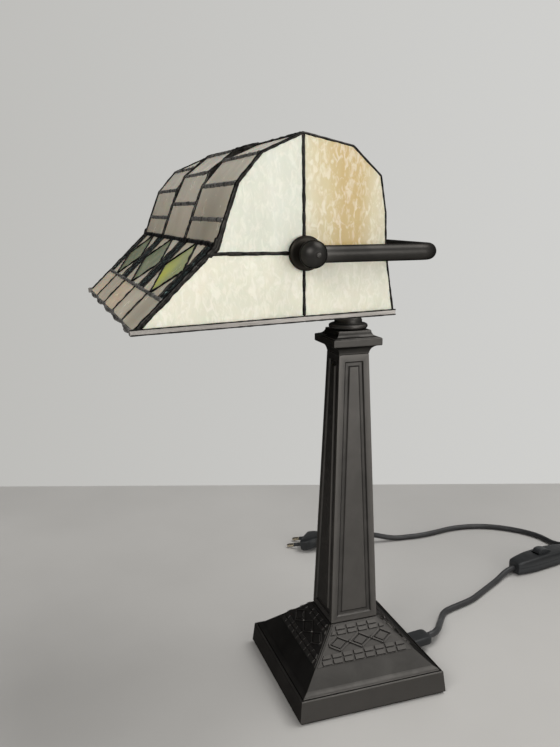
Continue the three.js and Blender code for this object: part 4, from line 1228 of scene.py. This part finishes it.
def make_skirt_leads():
    low, middle, top = SKIRT_SPLIT, SKIRT_MIDDLE, SKIRT_LENGTH
    shape = bmesh.new()
    seed = 100

    def run(line, half, lumps=0.15, depth=GLASS / 2 + 0.0010):
        nonlocal seed
        seed += 1
        bead(shape, [on_skirt(x, up, -LEAD_SINK) for x, up in line], half, depth, SKIRT_OUT, seed, lumps)

    for x in HEM_PANE_X[1:-1]:
        run([(x, 0.0), (x, low)], 0.0013)
    for left, right in SKIRT_CELLS:
        centre = (left + right) / 2
        run([(left, low), (left, top)], 0.0010)
        run([(right, low), (right, top)], 0.0010)
        for side in (left, right):
            run([(centre, low), (side, middle)], 0.0011)
            run([(side, middle), (centre, top)], 0.0011)
    shade_piece("skirt_leads", shape, SOLDER, "roof_came", sharp=80)
    shape = bmesh.new()
    run([(STRIP_X[0], low), (STRIP_X[-1], low)], 0.0016, 0.2)
    for left, right in zip(HEM_PANE_X, HEM_PANE_X[1:]):
        line = [(left + (right - left) * share, HEM_LEVEL - drop) for share, drop in HEM_SCALLOP]
        run(line, HEM_SCALLOP_HALVES, 0.34, 0.0020)
    shade_piece("hem_solder", shape, TINNED_AND_LIT_SOLDER, "roof_came", sharp=80)


make_roof_glass()
make_skirt_glass()
make_roof_leads()
make_skirt_leads()
for side, name in ((1, "right"), (-1, "left")):
    make_end_glass(side, name)
    make_end_leads(side, name)
    make_hem_rim(side, name)

# ---------- gland, switch, plug and tie ----------

SWITCH_MATRIX = placed((-0.103, 0.2827, 0), 99.6)
SWITCH_SQUARENESS = 0.3
ROCKER_AXIS_Z = 0.0146
ROCKER_TILT = 10
PLUG_MATRIX = placed((-0.237, 0.0531, 0.007), 51, -14)
GLAND_MATRIX = placed((0, 0.0635, 0.0105), 97.5)
PIN_APART = 0.0186
TIE_CORNER_R = 0.0029


def oval(wide, tall, power=0.5, count=40):
    """A soft rectangle as (across, up) points."""
    return [
        (wide * math.copysign(abs(c) ** power, c), tall * math.copysign(abs(s) ** power, s))
        for c, s in circle(1, count)
    ]


def loft(sections, matrix):
    """sections are (distance along, half width, half height, squareness power), the lengths in mm."""
    shape = bmesh.new()
    skin(shape, [
        [matrix @ Vector((metres(along), a, b)) for a, b in oval(metres(wide), metres(tall), power)]
        for along, wide, tall, power in sections
    ])
    return shape


def make_gland():
    shape = loft([
        (-8.5, 4.1, 3.8, 0.9), (0.8, 4.1, 3.8, 0.9), (1.0, 7.5, 3.6, 0.3), (1.4, 8.0, 4.0, 0.26),
        (9.0, 8.0, 4.0, 0.26), (17.0, 7.9, 4.0, 0.26), (19.2, 7.4, 3.8, 0.3), (20.1, 6.6, 3.4, 0.36),
        (20.5, 5.2, 3.0, 0.5),
    ], GLAND_MATRIX)
    return finish_piece("gland", shape, BLACK_PLASTIC, "cord_gland", sharp=32)


# Half of the switch's length: (distance from the middle, half width, low z, high z) in mm.
SWITCH_PROFILE = rows_in_metres(
    (40.0, 7.2, 1.6, 13.7), (38.6, 8.1, 0.9, 14.6), (33, 9.1, 0.5, 15.3), (27, 9.9, 0.2, 16.0), (21, 10.6, 0, 16.6),
    (15, 11, 0, 16.9), (8, 11, 0, 17), (0, 11, 0, 17),
)


def make_switch_shell(name, upper, node):
    """Half of the boat-shaped body: its section is half a soft rectangle closed at the seam."""
    seam = 0.0088 if upper else 0.0085
    stops = [(-along, *rest) for along, *rest in SWITCH_PROFILE] + SWITCH_PROFILE[-2::-1]
    shape = bmesh.new()
    rows = []
    for along, wide, low, high in stops:
        reach = (high if upper else low) - seam
        row = []
        for c, s in arc((0, 0), 1, 0, math.pi, 20):
            across = wide * math.copysign(abs(c) ** SWITCH_SQUARENESS, c)
            row.append(SWITCH_MATRIX @ Vector((along, across, seam + reach * abs(s) ** SWITCH_SQUARENESS)))
        rows.append(row)
    skin(shape, rows)
    return finish_piece(name, shape, BLACK_PLASTIC, node, sharp=32)


def make_switch():
    lower = make_switch_shell("switch_base_shell", False, "switch_lower_shell")
    upper = make_switch_shell("switch_top_shell", True, "switch_upper_shell")
    cutter = block((-0.0102, -0.0054, 0.0100), (0.0102, 0.0054, 0.0300))
    cutter.transform(SWITCH_MATRIX)
    carve(upper, cutter)
    outline = rows_in_metres((-8.5, 1.4), (-7.0, -0.2), (-2.6, -2.8), (2.6, -2.8), (7.0, -0.2), (8.5, 1.4))
    outline += [(0.0085 * c, 0.0014 + 0.0054 * s ** 0.6) for c, s in arc((0, 0), 1, 0, math.pi, 18)[1:-1]]
    tilt = SWITCH_MATRIX @ placed((0, 0, ROCKER_AXIS_Z), 0, ROCKER_TILT)
    shape = bmesh.new()
    skin(shape, [[tilt @ Vector((x, y, z)) for x, z in outline] for y in (-0.0049, -0.0047, 0.0047, 0.0049)])
    key = finish_piece("rocker_key", shape, BLACK_PLASTIC, "switch_rocker", body="rocker", soften=(0.0003, 30))
    return [lower, upper, key]


def make_plug():
    """The shell with the grooves of its strain relief, then each pin and its sleeve."""
    shape = loft([
        (0, 15.0, 5.2, 0.4), (0.4, 15.8, 5.9, 0.38), (1.5, 16.5, 6.4, 0.36), (7.1, 16.5, 6.5, 0.36),
        (10.0, 16.2, 6.5, 0.38), (13.3, 14.6, 6.4, 0.42), (16.6, 12.2, 6.2, 0.46), (19.6, 10.0, 6.0, 0.52),
        (22.0, 8.5, 5.8, 0.58), (23.3, 7.8, 5.6, 0.62), (23.6, 6.2, 4.8, 0.7), (24.6, 6.0, 4.8, 0.72),
        (25.0, 7.0, 5.3, 0.68), (27.5, 6.5, 5.1, 0.72), (27.8, 5.2, 4.4, 0.8), (28.8, 5.1, 4.4, 0.8),
        (29.1, 6.0, 4.9, 0.76), (31.6, 5.6, 4.7, 0.8), (31.9, 4.6, 4.1, 0.86), (32.9, 4.5, 4.1, 0.86),
        (33.3, 5.2, 4.5, 0.82), (35.8, 4.8, 4.3, 0.88), (36.1, 4.2, 3.9, 0.9), (37.1, 4.1, 3.8, 0.92),
        (37.4, 4.5, 4.1, 0.9), (39.3, 4.2, 3.9, 0.94), (39.7, 3.6, 3.4, 1.0),
    ], PLUG_MATRIX)
    made = [finish_piece("plug_shell", shape, BLACK_PLASTIC, "plug_body", sharp=32)]
    pin = [
        (0, 0.6), (1.8, 0.6), (1.8, -10.4), (2.0, -10.6), (2.0, -17.2), (1.8, -18.0), (1.3, -18.6), (0.6, -18.9),
        (0, -19.0),
    ]
    sleeve = [(1.82, 0.4), (2.0, 0.2), (2.0, -10.0), (1.82, -10.2)]
    for side, name in ((1, "left"), (-1, "right")):
        for label, finish, profile in (("pin", BRASS, pin), ("pin_sleeve", BLACK_PLASTIC, sleeve)):
            shape = lathe(profile, 32, (0, side * PIN_APART / 2, 0), closed=profile is sleeve)
            shape.transform(PLUG_MATRIX)
            made.append(finish_piece(f"plug_{label}_of_{name}", shape, finish, f"plug_pin_{name}", sharp=40))
    return made


def make_tie():
    """A flat band round the coil's turns with a small buckle on top."""
    angle = math.pi - 2 * math.pi * TIE_TURN
    outward = Vector((math.cos(angle), math.sin(angle), 0))
    across = outward.cross(UP)
    middle = Vector((*COIL_CENTRE, 0)) + outward * COIL_TRACKS[1]
    low, high = 0.0004, COIL_LAYERS[1] + CORD_D / 2 + TIE_THICK + 0.0005
    right = COIL_TRACKS[0] - COIL_TRACKS[1] + CORD_D / 2 + 0.0005 - TIE_CORNER_R
    line = []
    for x, z, start in (
        (right, low + TIE_CORNER_R, -0.5), (right, high - TIE_CORNER_R, 0.0),
        (-right, high - TIE_CORNER_R, 0.5), (-right, low + TIE_CORNER_R, 1.0),
    ):
        bend = arc((x, z), TIE_CORNER_R, math.pi * start, math.pi * (start + 0.5), 6)
        line += [middle + outward * a + UP * b for a, b in bend]
    centre = middle + UP * (low + high) / 2
    section = rows_in_metres((-2.4, -0.4), (2.4, -0.4), (2.6, 0), (2.4, 0.4), (-2.4, 0.4), (-2.6, 0))
    shape = bmesh.new()
    skin(shape, [
        [point + across * a + (point - centre).normalized() * b for a, b in section] for point in line
    ], closed=True)
    buckle = middle + UP * (high + 0.0006)
    rows = []
    for along, grow in ((-0.0032, 0.8), (-0.0028, 1.0), (0.0028, 1.0), (0.0032, 0.8)):
        ring = oval(1, 1, 0.5, 20)
        rows.append([
            buckle + outward * along + across * a * 0.0034 * grow + UP * b * 0.0012 * grow for a, b in ring
        ])
    skin(shape, rows)
    return finish_piece("coil_tie", shape, BLACK_PLASTIC, sharp=35)


gland = make_gland()
switch = make_switch()
plug = make_plug()
tie = make_tie()

short_lead = cord_curve("lead_base_to_switch", BASE_TO_SWITCH, CORD_SHEATH)
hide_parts("cord_base_to_switch")
long_lead = cord_curve("lead_switch_to_plug", SWITCH_TO_COIL + coil_points() + COIL_TO_PLUG, CORD_SHEATH)
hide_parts("cord_switch_to_coil", "cord_coil", "cord_coil_to_plug")

# ---------- parts that keep their CAD shape ----------

for node, (material, _), width in (
    ("base_plate", STEEL, 0.0003), ("base_weight", IRON, 0.0008), ("tie_rod", STEEL, 0.0003),
    ("pivot_nut_left", BRASS, 0.0004), ("pivot_nut_right", BRASS, 0.0004),
):
    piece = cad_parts[node]
    if piece.material_slots:
        piece.material_slots[0].material = material
    else:
        piece.data.materials.append(material)
    add_bevel(piece, width)

# ---------- floor, light and world ----------

FLOOR_REACH = 3.0
FLOOR_BACK = Vector((-0.4404, 0.093, 0))
FLOOR_SIDE = Vector((0.3224, 0.9466, 0))
FLOOR_FRONT = Vector((0.9466, -0.3224, 0))


def make_floor():
    """A pale top whose far edge is a straight line behind the lamp."""
    shape = bmesh.new()
    shape.faces.new([
        shape.verts.new(FLOOR_BACK + FLOOR_SIDE * side * FLOOR_REACH + FLOOR_FRONT * front * FLOOR_REACH)
        for side, front in ((-1, 0), (-1, 1), (1, 1), (1, 0))
    ])
    mesh = bpy.data.meshes.new("floor")
    shape.to_mesh(mesh)
    shape.free()
    made = Finish("floor", roughness=0.6)
    colour = made.ramp(made.noise(6, 3), [(0.3, (0.50, 0.49, 0.475)), (0.7, (0.535, 0.525, 0.51))])
    made.give(made.shader, {"Base Color": colour})
    mesh.materials.append(made.material)
    add_object("floor", mesh)


def area_light(name, place, aim, size, power, colour):
    data = bpy.data.lights.new(name, "AREA")
    data.shape = "RECTANGLE"
    data.size, data.size_y = size
    data.energy = power
    data.color = colour
    light = add_object(name, data)
    light.location = place
    light.rotation_mode = "QUATERNION"
    light.rotation_quaternion = (Vector(aim) - Vector(place)).to_track_quat("-Z", "Y")


def make_world():
    """Pale behind the lamp; as a light, bright from the window's side and dim from the user's."""
    world = bpy.data.worlds.new("world")
    bpy.context.scene.world = world
    world.use_nodes = True
    made = Nodes(world.node_tree, "Generated")
    side = made.ramp(made.along("Y", -1, 1), [(0.42, (0.03, 0.03, 0.032)), (0.80, (0.42, 0.42, 0.41))])
    front = made.ramp(made.along("X", -1, 1), [(0.50, (0.015, 0.015, 0.015)), (0.95, (0.55, 0.545, 0.53))])
    wall = made.ramp(made.along("Y", -0.2, 0.75), [(0.0, (0.485, 0.48, 0.46)), (1.0, (0.65, 0.65, 0.635))])
    lit = made.mix(0.5, side, front, "ADD")
    seen = made.mix(made.add("LightPath").outputs["Is Camera Ray"], lit, wall)
    made.give(made.tree.nodes["Background"], {"Color": seen, "Strength": 1.0})


make_floor()
make_world()
area_light("window", (1.9, 0.55, 0.62), (0, -0.02, 0.28), (1.1, 0.9), 11, (1.0, 0.99, 0.965))
area_light("room", (1.2, -1.5, 1.4), (0, -0.1, 0.35), (1.2, 1.0), 21, (1.0, 0.985, 0.96))
area_light("ceiling", (0.1, 0.8, 2.0), (0, 0, 0.2), (1.4, 1.2), 22, (1.0, 0.99, 0.97))
bpy.context.scene.view_settings.view_transform = "Standard"
